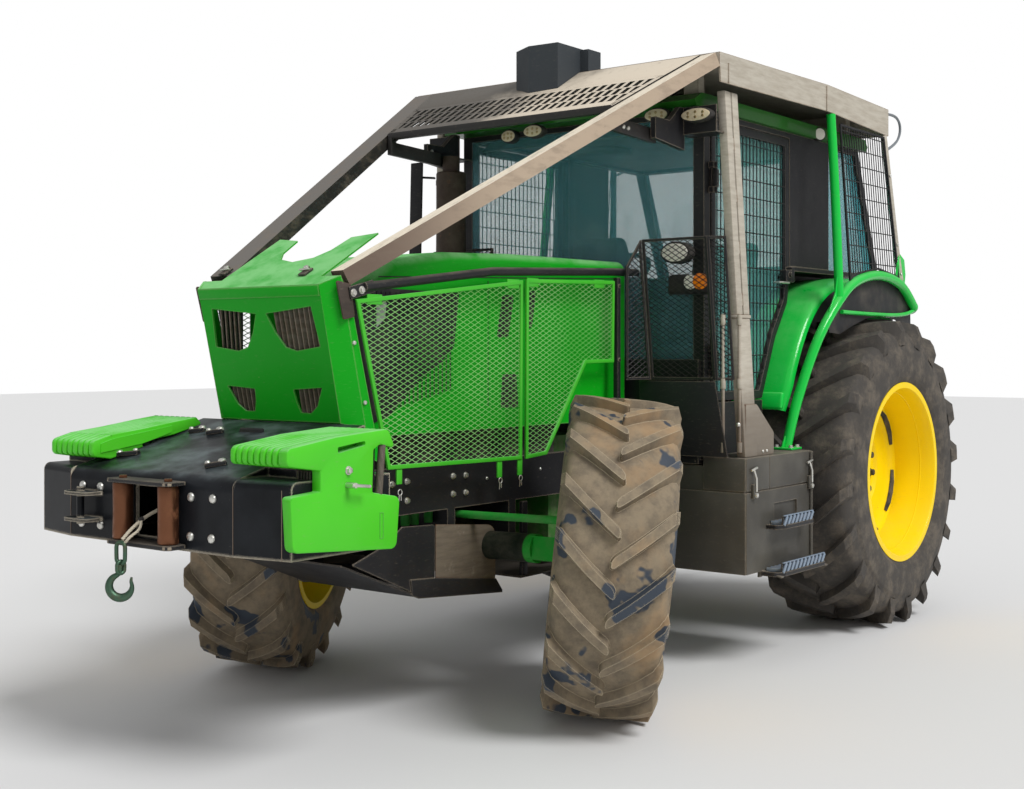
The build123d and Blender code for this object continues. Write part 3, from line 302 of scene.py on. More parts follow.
def casting(name, colour, grime=0.6, rust=0.15):
    """Cast or forged metal: rough skin, grime in the hollows, a little rust."""
    f = Finish(name)
    dirt = f.step(f.noise(9, 8, 0.7), 0.35, 0.72)
    base = f.mix(dirt * grime, colour, DUST)
    base = f.mix(f.step(f.noise(23, 6, 0.7), 0.6, 0.75) * rust * 2, base, RUST)
    rough = f.noise(30, 4) * 0.3 + 0.5
    return f.done(colour=base, roughness=rough, normal=f.bump(f.noise(160, 4, 0.7), 0.5, 0.0015))


def axle_paint(name):
    """The front axle's skin: near black on the housing, bright green on its two ends."""
    f = Finish(name, shine=0.2)
    along = f.axis("X").math("ABSOLUTE")
    dirt = f.step(f.noise(9, 8, 0.7), 0.35, 0.72)
    base = f.mix(f.step(along, 0.555, 0.565), (0.008, 0.014, 0.008, 1), (0.010, 0.34, 0.03, 1))
    base = f.mix(dirt * 0.15, base, DUST)
    return f.done(colour=base, roughness=f.noise(30, 4) * 0.3 + 0.45,
                  normal=f.bump(f.noise(160, 4, 0.7), 0.4, 0.0015))


def bare_steel(name, colour, rust=0.3, gloss=0.35):
    """Bright or worn steel with rust stains and fine brush marks."""
    f = Finish(name, metallic=0.85)
    stain = f.step(f.noise(26, 7, 0.7), 0.48, 0.66)
    base = f.mix(stain * rust, colour, RUST)
    brush = f.noise(90, 3, 0.6, f.stretched((1, 1, 9)))
    rough = brush * 0.2 + gloss + stain * 0.3
    return f.done(colour=base, roughness=rough, metallic=0.9 - stain * rust,
                  normal=f.bump(brush, 0.12, 0.0005))


def rubber(name, colour, mud, mud_share=0.5):
    """Tyre rubber: grey scuffed tread, dried mud in the gaps, cuts and pale scrapes."""
    f = Finish(name)
    soil = f.step(f.noise(8, 8, 0.72), 0.62 - 0.35 * mud_share, 0.72)
    base = f.mix(soil * mud_share, colour, mud)
    cuts = f.step(f.noise(40, 5, 0.8, f.stretched((1, 2.5, 1))), 0.66, 0.7)
    base = f.mix(cuts * 0.4, base, (0.42, 0.35, 0.26, 1))
    height = f.noise(75, 6, 0.7) + soil * 0.6
    rough = 0.62 + f.noise(20, 4) * 0.25
    return f.done(colour=base, roughness=rough, normal=f.bump(height, 0.55, 0.003))


def caked_rubber(name, colour, mud, share=0.5):
    """Rubber caked with dried mud that has flaked off in patches, with pale scraped edges on the lugs."""
    f = Finish(name)
    tone = f.noise(13, 7, 0.7)
    cake = f.step(f.noise(5.0, 3, 0.55), 0.585 - 0.22 * share, 0.615 - 0.22 * share)
    soil = f.mix(f.step(tone, 0.35, 0.7), mud, (0.16, 0.130, 0.095, 1))
    soil = f.mix(f.step(f.noise(3.1, 4), 0.5, 0.7) * 0.6, soil, (0.42, 0.27, 0.14, 1))
    base = f.mix(cake, colour, soil)
    scrape = f.step(f.edges(0.009) + tone * 0.26, 0.27, 0.36)
    base = f.mix(scrape * 0.7, base, (0.58, 0.49, 0.35, 1))
    height = f.noise(60, 6, 0.7) * 0.6 + cake * 0.8
    rough = 0.5 + cake * 0.3 + tone * 0.1
    return f.done(colour=base, roughness=rough, normal=f.bump(height, 0.5, 0.003))


def moulded(name, colour, gloss=0.45):
    """Moulded plastic: an even colour, fine grain, light dust."""
    f = Finish(name)
    film = f.step(f.noise(6, 6, 0.65), 0.4, 0.8)
    base = f.mix(film * 0.2, colour, DUST)
    return f.done(colour=base, roughness=f.noise(14, 4) * 0.2 + gloss,
                  normal=f.bump(f.noise(600, 2), 0.25, 0.0004))


def glazing(name, colour, share=0.35):
    """Tinted safety glass, a little dusty: its tint and dust are its alpha."""
    f = Finish(name)
    dust = f.step(f.noise(4, 6, 0.7), 0.45, 0.85)
    base = f.mix(dust * 0.3, colour, (0.45, 0.46, 0.42, 1))
    return f.done(colour=base, roughness=0.03 + dust * 0.12, alpha=share + dust * 0.12)


def lens(name, colour, alpha=0.45):
    """A clear or coloured lamp lens with fine upright flutes."""
    f = Finish(name)
    flutes = f.waves("Z", 60.0)
    base = f.mix(flutes * 0.3, colour, (0.9, 0.9, 0.9, 1))
    return f.done(colour=base, roughness=0.08 + flutes * 0.1, alpha=alpha + flutes * 0.1,
                  normal=f.bump(flutes, 0.3, 0.0006))


def weathered_guard(name, colour=GUARD_GREY, shade=GUARD_BROWN, foot=None):
    """Old grey paint on the roof bars, browned, streaked and dusty, with another colour near the ground."""
    f = Finish(name)
    streak = f.step(f.noise(5, 7, 0.7, f.stretched((3, 1.2, 9))), 0.35, 0.7)
    base = f.mix(streak * 0.8, colour, shade)
    pale = f.step(f.noise(14, 7, 0.7), 0.55, 0.75)
    base = f.mix(pale * 0.5, base, (0.42, 0.36, 0.29, 1))
    if foot:
        low = f.step(f.axis("Z"), 1.45, 1.20)
        base = f.mix(low * 0.85, base, foot)
    chip = f.step(f.edges(0.010) + f.noise(60, 5, 0.7) * 0.3, 0.34, 0.42)
    base = f.mix(chip * 0.8, base, RUST)
    rough = f.noise(18, 5) * 0.25 + 0.5
    return f.done(colour=base, roughness=rough, normal=f.bump(f.noise(120, 5, 0.7), 0.35, 0.001))


def cloth(name, colour):
    """Woven seat cloth: two sets of threads."""
    f = Finish(name)
    weave = f.waves("X", 240.0) * f.waves("Y", 240.0)
    base = f.mix(weave * 0.5, colour, (0.14, 0.14, 0.15, 1))
    return f.done(colour=base, roughness=0.8 + weave * 0.1, normal=f.bump(weave, 0.4, 0.0006))


def make_materials():
    """Every finish by its name."""
    return {
        # The greens that take the pale mint veil have a painted sunlit highlight on their upward faces.
        "guard_lime": paint("lime guard enamel", (0.07, 0.50, 0.03, 1), LIME, gloss=0.35, coat=0.1, dust=0.45,
                            wear=0.5, dust_and_highlight_tone=PAINTED_HIGHLIGHT_MINT),
        "green_paint": paint("lime enamel", (0.004, 0.38, 0.010, 1), LIME_DEEP, chips=0.35, coat=0.05,
                             dust=0.6, wear=0.10, dust_and_highlight_tone=PAINTED_HIGHLIGHT_MINT, shine=0.14),
        "green_plastic": paint("lime hood skin", (0.006, 0.40, 0.012, 1), LIME, gloss=0.24, coat=0.12,
                               dust=0.7, wear=0.2, dust_and_highlight_tone=PAINTED_HIGHLIGHT_MINT, shine=0.2),
        "black_steel": paint("black guard paint", BLACK_PAINT, BLACK_WORN, gloss=0.42, coat=0.05, chips=0.5,
                             dust=0.3),
        "grey_steel": weathered_guard("weathered grey bar"),
        "cast_green": casting("green casting", (0.018, 0.17, 0.012, 1), grime=0.45),
        "dark_casting": casting("dark casting", (0.03, 0.03, 0.03, 1), grime=0.4),
        "yellow_rim": paint("yellow rim enamel", (0.96, 0.68, 0.001, 1), (0.84, 0.50, 0.001, 1), dust=0.06,
                            wear=0.2, coat=0.1, shine=0.2),
        "tyre_rubber": rubber("tyre rubber", (0.05, 0.044, 0.04, 1), ROAD_MUD),
        "rear_tyre": rubber("brown grey rubber", (0.060, 0.054, 0.048, 1), (0.20, 0.165, 0.125, 1),
                            mud_share=0.6),
        "front_tyre": caked_rubber("muddy worn rubber", (0.046, 0.058, 0.078, 1), (0.27, 0.215, 0.145, 1),
                                   0.85),
        "tinted_glass": glazing("teal glass", (0.09, 0.46, 0.52, 1), 0.42),
        # The door and front glass: a teal tint, brightened as a painted sheen.
        "door_glass": glazing("door glass, teal tint and painted sheen", (0.16, 0.50, 0.46, 1), 0.28),
        "front_glass": glazing("front glass, teal tint and painted sheen", (0.18, 0.52, 0.60, 1), 0.20),
        "black_plastic": moulded("black moulding", (0.02, 0.02, 0.022, 1)),
        "seat_fabric": cloth("seat cloth", (0.03, 0.03, 0.034, 1)),
        "roller_steel": bare_steel("browned roller", (0.20, 0.085, 0.045, 1), rust=0.45, gloss=0.26),
        "wire_rope": casting("rope fibre", (0.62, 0.56, 0.44, 1), grime=0.2, rust=0.0),
        "bright_bolt": bare_steel("bright bolt", (0.74, 0.73, 0.68, 1), rust=0.10, gloss=0.28),
        "weight_green": paint("lime weight enamel", (0.080, 0.60, 0.018, 1), LIME, gloss=0.4, coat=0.1,
                              dust=0.55, wear=0.2, dust_and_highlight_tone=PAINTED_HIGHLIGHT_MINT),
        "winch_black": winch_paint("torn black gloss"),
        "riser_two": two_sided_bar("riser with painted sunlit top"),
        "foot_brown": weathered_guard("brown foot", (0.075, 0.055, 0.045, 1), (0.045, 0.035, 0.03, 1)),
        # The cab roof's green is darkened as painted shade.
        "roof_green": paint("roof green in painted shade", (0.012, 0.13, 0.006, 1), (0.02, 0.16, 0.01, 1), dust=0.1),
        "box_blue": paint("blue grey box", (0.040, 0.048, 0.056, 1), (0.055, 0.064, 0.072, 1), gloss=0.5,
                          coat=0.0, dust=0.15),
        "post_grey": weathered_guard("grey post", (0.50, 0.46, 0.385, 1), (0.36, 0.315, 0.25, 1),
                                     (0.17, 0.14, 0.11, 1)),
        "wire_black": paint("black wire", BLACK_PAINT, BLACK_WORN, gloss=0.5, coat=0.0, dust=0.15, chips=0.0),
        "mesh_black": paint("black mesh", BLACK_PAINT, (0.05, 0.048, 0.045, 1), gloss=0.4, coat=0.0,
                            dust=0.15, wear=0.5),
        "strand_pale": paint("pale lime strands", (0.34, 0.68, 0.24, 1), (0.10, 0.50, 0.06, 1), gloss=0.3,
                             coat=0.1, dust=0.1, wear=0.7),
        "fender_green": paint("deep gloss green", (0.005, 0.56, 0.055, 1), (0.012, 0.58, 0.08, 1), gloss=0.14,
                              coat=0.4, dust=0.2, dust_and_highlight_tone=PAINTED_HIGHLIGHT_MINT, shine=0.2),
        "plate_brown": weathered_guard("brown plate", (0.165, 0.135, 0.10, 1), (0.10, 0.08, 0.06, 1)),
        "lining_olive": moulded("olive lining", (0.055, 0.050, 0.030, 1)),
        "hose_grey": moulded("grey hose", (0.20, 0.22, 0.24, 1)),
        "step_metal": bare_steel("zinc tread", (0.36, 0.44, 0.54, 1), rust=0.2, gloss=0.45),
        "axle_green": casting("bright axle casting", (0.015, 0.30, 0.03, 1), grime=0.2, rust=0.05),
        "axle_dark": axle_paint("axle dark between green ends"),
        "box_black": paint("black box paint", (0.060, 0.056, 0.048, 1), (0.115, 0.108, 0.090, 1), gloss=0.40,
                           coat=0.1, chips=0.4, dust=0.4, wear=0.8),
        "exhaust_brown": casting("scorched shield", (0.045, 0.028, 0.020, 1), grime=0.12, rust=0.45),
        "visor_black": visor_paint("visor with painted sunlit top"),
        "lamp_cream": lens("cream lamp", (0.80, 0.66, 0.40, 1), alpha=0.85),
        "lamp_red": paint("red lamp", (0.55, 0.008, 0.006, 1), (0.40, 0.006, 0.005, 1), gloss=0.12, coat=0.5,
                          dust=0.05),
        "lamp_white": lens("white lamp", (0.92, 0.88, 0.76, 1), alpha=0.92),
        "lamp_cup": bare_steel("lamp reflector", (0.55, 0.42, 0.22, 1), rust=0.1, gloss=0.25),
        "lamp_amber": paint("amber lamp", (0.95, 0.20, 0.004, 1), (0.90, 0.36, 0.02, 1), gloss=0.15, coat=0.4,
                            dust=0.05, wear=0.6),
        "hook_steel": bare_steel("green hook", (0.08, 0.15, 0.10, 1), rust=0.3),
        "lamp_lens": lens("clear lens", (0.75, 0.76, 0.72, 1)),
        "link_steel": bare_steel("hitch link", (0.06, 0.06, 0.06, 1), rust=0.4),
    }


MATERIALS = make_materials()
SLOT_OF = {part["node"]: part["material_slot"] for part in frame["record"]["subparts"]}

# Finishes that aren't slots of the record, by the slot that they belong to
FINISHES_IN_SLOT = {
    "link_steel": ("bright_bolt", "step_metal"),
    "grey_steel": ("post_grey", "foot_brown"),
    "black_steel": ("mesh_black", "wire_black", "plate_brown", "visor_black", "box_black", "exhaust_brown"),
    "black_plastic": ("lining_olive", "hose_grey"),
    "lamp_lens": ("lamp_cream", "lamp_red", "lamp_white", "lamp_amber", "lamp_cup"),
    "green_paint": ("guard_lime", "strand_pale"),
    "cast_green": ("weight_green", "axle_green"),
    "tyre_rubber": ("rear_tyre", "front_tyre"),
}
SLOT_OF_FINISH = {finish: slot for slot, finishes in FINISHES_IN_SLOT.items() for finish in finishes}

# Solids whose finish isn't that of their slot
SPECIAL_FINISH = {
    "steering_rod": "axle_green", "knuckle_left": "axle_green", "knuckle_right": "axle_green",
    "front_axle": "axle_dark",
    "winch_box": "winch_black", "risers": "riser_two", "windscreen": "front_glass",
    "door_glass_left": "door_glass", "door_glass_right": "door_glass",
    "roof_guard": "post_grey", "cab_roof": "roof_green", "roof_box": "box_blue",
}


def dress_nodes():
    """Every solid takes the finish of its material slot, or one of its own."""
    for name, node in frame["nodes"].items():
        node.data.materials.clear()
        node.data.materials.append(MATERIALS[SPECIAL_FINISH.get(name, SLOT_OF[name])])


def clear_selection():
    """Select nothing."""
    bpy.ops.object.select_all(action="DESELECT")


def only(piece):
    """Select this piece alone and make it the active one."""
    clear_selection()
    piece.select_set(True)
    bpy.context.view_layer.objects.active = piece
    return piece


def settled(piece):
    """Put the piece's place into its mesh."""
    only(piece)
    bpy.ops.object.transform_apply(location=True, rotation=True, scale=True)
    return piece


def edited(piece, choose, *steps):
    """In edit mode, select the edges or faces that choose accepts and run each step on them."""
    only(piece)
    mesh = bmesh.new()
    mesh.from_mesh(piece.data)
    for part in (*mesh.verts, *mesh.edges, *mesh.faces):
        part.select_set(False)
    for part in choose(mesh):
        part.select_set(True)
    mesh.select_flush(True)
    mesh.to_mesh(piece.data)
    mesh.free()
    bpy.ops.object.mode_set(mode="EDIT")
    for step in steps:
        step()
    bpy.ops.object.mode_set(mode="OBJECT")
    return piece


def every_edge(mesh):
    """All edges, for edited."""
    return list(mesh.edges)


def every_face(mesh):
    """All faces, for edited."""
    return list(mesh.faces)


def select_whole():
    """A step for edited: select everything."""
    bpy.ops.mesh.select_all(action="SELECT")


def face_outwards():
    """A step for edited: turn the selected faces' normals outwards."""
    bpy.ops.mesh.normals_make_consistent(inside=False)


def sharp_edges(mesh):
    """The edges where two faces meet at more than 30 degrees."""
    limit = math.radians(30)
    return [edge for edge in mesh.edges if len(edge.link_faces) == 2 and edge.calc_face_angle(0) > limit]


def eased(piece, width, segments=2, choose=sharp_edges):
    """Round the piece's sharp edges, unless the width is 0."""
    if not width:
        return piece
    return edited(piece, choose, lambda: bpy.ops.mesh.bevel(offset=width, segments=segments, affect="EDGES"))


def block(size, place, turn=(0, 0, 0), ease=0.0):
    """A block of a size, its middle at a place, with eased edges."""
    clear_selection()
    bpy.ops.mesh.primitive_cube_add(size=1, location=place, rotation=turn, scale=size)
    return eased(settled(bpy.context.object), ease)


def bar(start, end, wide, high, ease=0.0):
    """A rectangular bar between two points, its width level."""
    run = Vector(end) - Vector(start)
    piece = block((wide, high, run.length), (0, 0, 0), ease=ease)
    level = Vector(UP).cross(run).normalized() if abs(run.normalized().z) < 0.999 else Vector(LEFT)
    axes = Matrix((level, run.normalized().cross(level), run.normalized())).transposed().to_4x4()
    piece.data.transform(Matrix.Translation((Vector(start) + Vector(end)) / 2) @ axes)
    return piece


def disc(radius, depth, place, towards, sides=24, ease=0.0):
    """A round bar or disc about a point, its axis along a direction."""
    clear_selection()
    bpy.ops.mesh.primitive_cylinder_add(vertices=sides, radius=radius, depth=depth, location=place,
                                        rotation=Vector(towards).to_track_quat("Z", "Y").to_euler())
    return eased(settled(bpy.context.object), ease)


def outline_mesh(spots, fill="NGON"):
    """A face with its corners at these places, or with the fill NOTHING their edges alone."""
    clear_selection()
    bpy.ops.mesh.primitive_circle_add(vertices=len(spots), radius=1, fill_type=fill)
    piece = bpy.context.object
    for vertex, spot in zip(piece.data.vertices, spots):
        vertex.co = spot
    return piece


def sheet_plate(outline, thick, ease=0.0):
    """A flat plate from its outline in space, thickened along a vector."""
    piece = outline_mesh(outline)
    edited(piece, every_face,
           lambda: bpy.ops.mesh.extrude_region_move(TRANSFORM_OT_translate={"value": tuple(thick)}),
           select_whole,
           face_outwards)
    return eased(piece, ease)


def curve_through(points, smooth=True, closed=False, resolution=6):
    """A curve object along points, and its spline."""
    curve = bpy.data.curves.new("curve", "CURVE")
    curve.dimensions = "3D"
    spline = curve.splines.new("NURBS" if smooth else "POLY")
    spline.points.add(len(points) - 1)
    for knot, spot in zip(spline.points, points):
        knot.co = (*spot, 1)
    if smooth:
        spline.order_u = 3
        spline.use_endpoint_u = not closed
    spline.use_cyclic_u = closed
    spline.resolution_u = resolution
    holder = bpy.data.objects.new("curve", curve)
    bpy.context.scene.collection.objects.link(holder)
    return holder, spline


def tube(points, radius, sides=10, smooth=True, closed=False, shares=None):
    """A bent tube along points, as a mesh; shares are its thickness at each point."""
    holder, spline = curve_through(points, smooth, closed)
    for knot, share in zip(spline.points, shares or ()):
        knot.radius = share
    holder.data.bevel_depth = radius
    holder.data.bevel_resolution = max(1, sides // 4 - 1)
    holder.data.use_fill_caps = True
    only(holder)
    bpy.ops.object.convert(target="MESH")
    return bpy.context.object


def circle(count, radius, start=0.0):
    """Points about a circle, as pairs of cosine and sine."""
    angles = [2 * math.pi * index / count + start for index in range(count)]
    return [(radius * math.cos(angle), radius * math.sin(angle)) for angle in angles]


def lathe(profile, steps=48):
    """Spin a closed profile of (along, radius) about the X axis."""
    piece = outline_mesh([(along, 0, radius) for along, radius in profile], "NOTHING")
    return edited(piece, every_edge,
                  lambda: bpy.ops.mesh.spin(steps=steps, angle=2 * math.pi, center=(0, 0, 0), axis=LEFT),
                  select_whole,
                  lambda: bpy.ops.mesh.remove_doubles(threshold=0.00005),
                  face_outwards)


def placed(piece, matrix):
    """The piece, moved by a matrix, which may mirror it."""
    piece.data.transform(matrix)
    if matrix.to_3x3().determinant() < 0:
        piece.data.flip_normals()
    return piece


def copied(piece, matrix):
    """A copy with its own mesh, moved by a matrix."""
    twin = bpy.data.objects.new(piece.name, piece.data.copy())
    bpy.context.scene.collection.objects.link(twin)
    return placed(twin, matrix)


def joined(parts, name):
    """Several pieces made one, in the first one's place."""
    clear_selection()
    for part in parts:
        part.select_set(True)
    bpy.context.view_layer.objects.active = parts[0]
    if len(parts) > 1:
        bpy.ops.object.join()
    whole = bpy.context.view_layer.objects.active
    whole.name = name
    return whole


def repeated(piece, matrices, name):
    """One piece, copied to each matrix and joined; the first one is used up."""
    parts = [copied(piece, matrix) for matrix in matrices]
    bpy.data.objects.remove(piece)
    return joined(parts, name)


MIRROR = Matrix.Scale(-1, 4, LEFT)
UPRIGHT = Matrix.Rotation(-math.pi / 2, 4, "Y")         # stands up what a lathe spins about the X axis


def both_sides(pieces, name):
    """One piece or several, and their mirror image, joined."""
    half = joined(pieces, "half") if isinstance(pieces, list) else pieces
    return joined([copied(half, MIRROR), half], name)


def kept(piece, finish, body="chassis", smooth=30, slot_name=None):
    """Give a finished piece its material, its shading and the body that it rides on."""
    piece.data.materials.clear()
    piece.data.materials.append(MATERIALS[finish])
    if smooth:
        only(piece)
        bpy.ops.object.shade_smooth_by_angle(angle=math.radians(smooth))
    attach(piece, body)
    slot_name or SLOT_OF_FINISH.get(finish, finish)
    return piece


def at(x, y, z):
    """A place measured from the ground under the rear axle, in millimetres."""
    return Vector((x / 1000, y / 1000 + ORIGIN_Y, z / 1000))


def shift(x, y, z):
    """The move from the drawing's zero to a place."""
    return Matrix.Translation(at(x, y, z))


def joint_of(name):
    """The record's joint of a name."""
    return next(joint for joint in frame["joints"] if joint["name"] == name)


def wheel_frame(end, side):
    """The matrix that puts a left wheel drawn about the X axis in its place, mirrored on the right."""
    joint = joint_of(f"{end}_{side}_spin")
    axis = Vector(joint["axis"])
    turn = Vector(LEFT).rotation_difference(axis).to_matrix().to_4x4()
    place = Matrix.Translation(joint["pos_m"]) @ turn
    return place @ MIRROR if side == "right" else place


REAR_RIM = 0.483
FRONT_RIM = 0.356
TYRES = {
    "rear": {"radius": 0.860, "half": 0.296, "rim_radius": REAR_RIM, "count": 20, "high": 0.046, "turn": 17},
    "front": {"radius": 0.667, "half": 0.236, "rim_radius": FRONT_RIM, "count": 18, "high": 0.038,
              "turn": 19},
}

# Places along a lug from its rounded inner end, and its width there
LUG_SHARES = [0, 0.02, 0.06, 0.15, 0.29, 0.45, 0.61, 0.77, 0.93, 1.0]
LUG_WIDE = [0.45, 0.82, 1, 1, 1, 1, 1, 1, 1, 1]


def tread_lug(radius, half, high, count, turn):
    """One worn lug, from past the tread's middle over the shoulder to the sidewall."""
    rows = len(LUG_SHARES) - 1
    piece = block((1, 1, 1), (0, 0, 0))

    def runs_along(edge):
        return abs(edge.verts[0].co.x - edge.verts[1].co.x) > 0.5

    edited(piece, lambda mesh: [edge for edge in mesh.edges if runs_along(edge)],
           lambda: bpy.ops.mesh.subdivide(number_cuts=rows - 1))
    pitch = 2 * math.pi / count
    for vertex in piece.data.vertices:
        row = round((vertex.co.x + 0.5) * rows)
        share = LUG_SHARES[row]
        side = vertex.co.y * 2 * LUG_WIDE[row]
        top = vertex.co.z > 0
        along = half * (-0.05 + 1.04 * share)
        drop = 0.014 * radius * (share ** 3) + (max(share - 0.93, 0) / 0.07) * 1.15 * high
        width = pitch * (0.18 + 0.05 * share) if top else pitch * (0.31 + 0.05 * share)
        centre = turn * (0.86 * share + 0.14 * share ** 2)
        reach = radius - drop - (0 if top else 1.75 * high)
        angle = centre + side * width / 2
        vertex.co = (along - (0 if top else 0.006), reach * math.sin(angle), -reach * math.cos(angle))
    edited(piece, every_face, face_outwards)
    return eased(piece, 0.004)


def make_tyre(end, side, radius, half, rim_radius, count, high, turn):
    """A worn cleated tyre: the carcass with its bead and rings, and two rows of slanting lugs."""
    carcass = radius - high
    depth = carcass - rim_radius
    flank = [(0.82, -0.004), (0.90, 0.03), (0.97, 0.14), (0.985, 0.17), (0.985, 0.19), (1.0, 0.21),
             (1.0, 0.40), (0.99, 0.58), (0.985, 0.62), (0.965, 0.64), (0.95, 0.74), (0.90, 0.86),
             (0.82, 0.93), (0.6, 0.972), (0.3, 0.993)]
    outer = [(along * half, rim_radius + 0.001 + level * depth) for along, level in flank]
    middle = [(0, carcass)]
    profile = outer + middle + [(-along, level) for along, level in reversed(outer)]
    ring = lathe(profile, steps=96)
    lug = tread_lug(radius, half, high, count, -math.radians(turn))
    lugs = []
    for row in (1, -1):
        for index in range(count):
            angle = 2 * math.pi * (index + 0.25 * row) / count + 2 * math.radians(turn)
            spin = Matrix.Rotation(angle, 4, "X")
            lugs.append(spin if row > 0 else spin @ MIRROR)
    tread = repeated(lug, lugs, "tread")
    tyre = placed(joined([ring, tread], f"worn_tyre_{end}_{side}"), wheel_frame(end, side))
    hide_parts(f"tyre_{end}_{side}")
    return kept(tyre, f"{end}_tyre", f"wheel_{end}_{side}", smooth=40)


def make_tyres():
    """The four tyres."""
    for side in ("left", "right"):
        for end, sizes in TYRES.items():
            make_tyre(end, side, **sizes)


def plane_axes(outline, towards):
    """A plane's two axes and its normal, from a flat outline."""
    first = outline[1] - outline[0]
    normal = Vector((0, 0, 0))
    for spot, after in zip(outline, outline[1:] + outline[:1]):
        normal += (spot - outline[0]).cross(after - outline[0])
    normal.normalize()
    if normal.dot(Vector(towards)) < 0:
        normal.negate()
    along = first.normalized()
    return along, normal.cross(along), normal


def edge_frame(outline, towards, width, thick):
    """A flat bar along the edges of an outline, open inside."""
    piece = outline_mesh(outline)
    normal = plane_axes(outline, towards)[2]
    edited(piece, every_face,
           lambda: bpy.ops.mesh.inset(thickness=width, use_even_offset=True),
           lambda: bpy.ops.mesh.delete(type="FACE"),
           select_whole,
           lambda: bpy.ops.mesh.extrude_region_move(TRANSFORM_OT_translate={"value": tuple(normal * thick)}),
           select_whole,
           face_outwards)
    return eased(piece, min(width, thick) * 0.18)


def cut_to(piece, outline, towards):
    """Cut a piece to a flat convex outline."""
    normal = plane_axes(outline, towards)[2]
    middle = sum(outline, Vector()) / len(outline)
    for spot, after in zip(outline, outline[1:] + outline[:1]):
        outward = (after - spot).cross(normal).normalized()
        if outward.dot(middle - spot) > 0:
            outward.negate()
        edited(piece, every_face,
               lambda: bpy.ops.mesh.bisect(plane_co=tuple(spot), plane_no=tuple(outward), use_fill=True,
                                           clear_outer=True))
    return piece


def diamond_mesh(outline, towards, long_pitch, short_pitch, strand, depth, level=None):
    """Expanded metal inside a convex outline: two sets of strands. level is the long diagonal's direction."""
    along, across, normal = plane_axes(outline, towards)
    if level is not None:
        along = (Vector(level) - normal * Vector(level).dot(normal)).normalized()
        across = normal.cross(along)
    middle = sum(outline, Vector()) / len(outline)
    reach = max((spot - middle).length for spot in outline) * 1.02
    slant = math.atan2(short_pitch, long_pitch)
    spacing = long_pitch * math.sin(slant)
    count = int(2 * reach / spacing) + 1
    axes = Matrix((along, across, normal)).transposed().to_4x4()
    strands = []
    for family, lean in enumerate((slant, -slant)):
        strip = block((2 * reach, strand * (1.1 - 0.3 * family), depth * 0.4),
                      (0, 0, depth * (0.38 + 0.24 * family)), (0.55 - 1.1 * family, 0, 0))
        turn = Matrix.Rotation(lean, 4, "Z")
        spots = [turn @ Matrix.Translation((0, (index - count / 2) * spacing, 0)) for index in range(count)]
        strands.append(repeated(strip, spots, "strands"))
    mesh = joined(strands, "mesh")
    placed(mesh, Matrix.Translation(middle) @ axes)
    return cut_to(mesh, outline, towards)


GUARD_X = 412
CLIP_WIRE = 0.0022
# Each lift-off guard's corners, the hinge tabs on its top edge, and the pinned tabs below with their heights
SIDE_GUARDS = {
    "front": ([(-3704, 1741), (-2644, 1857), (-2651, 1060), (-3525, 1073)], [(-3600, 1744), (-2712, 1838)],
              [(-3455, 1040, 60), (-2806, 1028, 75), (-2660, 1028, 75)]),
    "rear": ([(-2616, 1863), (-1905, 1883), (-1912, 1486), (-2150, 1483), (-2464, 1071), (-2622, 1060)],
             [(-2568, 1850), (-2035, 1863)], []),
}


def mesh_panel(outline, towards, frame_wide, frame_thick, long_pitch, short_pitch, strand, level,
               convex=None):
    """A guard panel as two pieces: a flat frame, and the expanded metal welded inside it."""
    normal = plane_axes(outline, towards)[2]
    lattices = []
    for region in convex or [outline]:
        lattice = diamond_mesh(region, towards, long_pitch, short_pitch, strand, 0.003, level)
        lattices.append(placed(lattice, Matrix.Translation(normal * (frame_thick / 2 - 0.0015))))
    return edge_frame(outline, towards, frame_wide, frame_thick), joined(lattices, "lattice")


def make_side_guards():
    """The lift-off meshes beside the hood, with their hinge tabs, and their pinned tabs with the clips."""
    for end, (corners, hinge_tabs, pin_tabs) in SIDE_GUARDS.items():
        outline = [at(GUARD_X, y, z) for y, z in corners]
        convex = [outline] if end == "front" else [outline[:4], [outline[0], *outline[3:]]]
        frame_piece, lattice = mesh_panel(outline, LEFT, 0.017, 0.012, 0.050, 0.022, 0.0034, REAR, convex)
        parts = [frame_piece]
        for y, z in hinge_tabs:
            parts.append(block((0.006, 0.085, 0.040), at(GUARD_X + 6, y, z), ease=0.002))
        for y, middle, high in pin_tabs:
            parts.append(block((0.008, 0.032, high / 1000), at(GUARD_X + 3, y, middle), ease=0.002))
        guard = both_sides(parts, f"guard_frame_{end}")
        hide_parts(f"side_guards_{end}")
        kept(guard, "guard_lime")
        kept(both_sides(lattice, f"expanded_mesh_{end}"), "strand_pale")
    clips = []
    for x in (GUARD_X + 9, -GUARD_X - 9):
        for y in (-3455, -2806, -2660):
            clips.append(tube([at(x, y + across, 978 + up) for across, up in circle(12, 12)], CLIP_WIRE,
                              sides=6, closed=True))
            for side, splay, low in ((-1, 8, 940), (1, 7, 945)):
                clips.append(tube([at(x, y + 5 * side, 966), at(x, y + splay * side, low)], CLIP_WIRE,
                                  sides=6, smooth=False))
    kept(joined(clips, "guard_clips"), "bright_bolt")


CAB_CORNERS = {
    "hood high": (464, -1862, 1953), "hood low": (464, -1862, 1400), "bend high": (471, -1740, 2093),
    "bend low": (508, -1710, 1400), "edge high": (838, -1740, 2093), "edge low": (870, -1710, 1400),
    "post high": (922, -1700, 2093), "post low": (955, -1676, 1400),
}
CAB_FACETS = [
    ((-1, 0, 0), ("hood low", "bend low", "bend high", "hood high")),
    (REAR, ("bend low", "edge low", "edge high", "bend high")),
    ((-1, 1, 0), ("edge low", "post low", "post high", "edge high")),
]


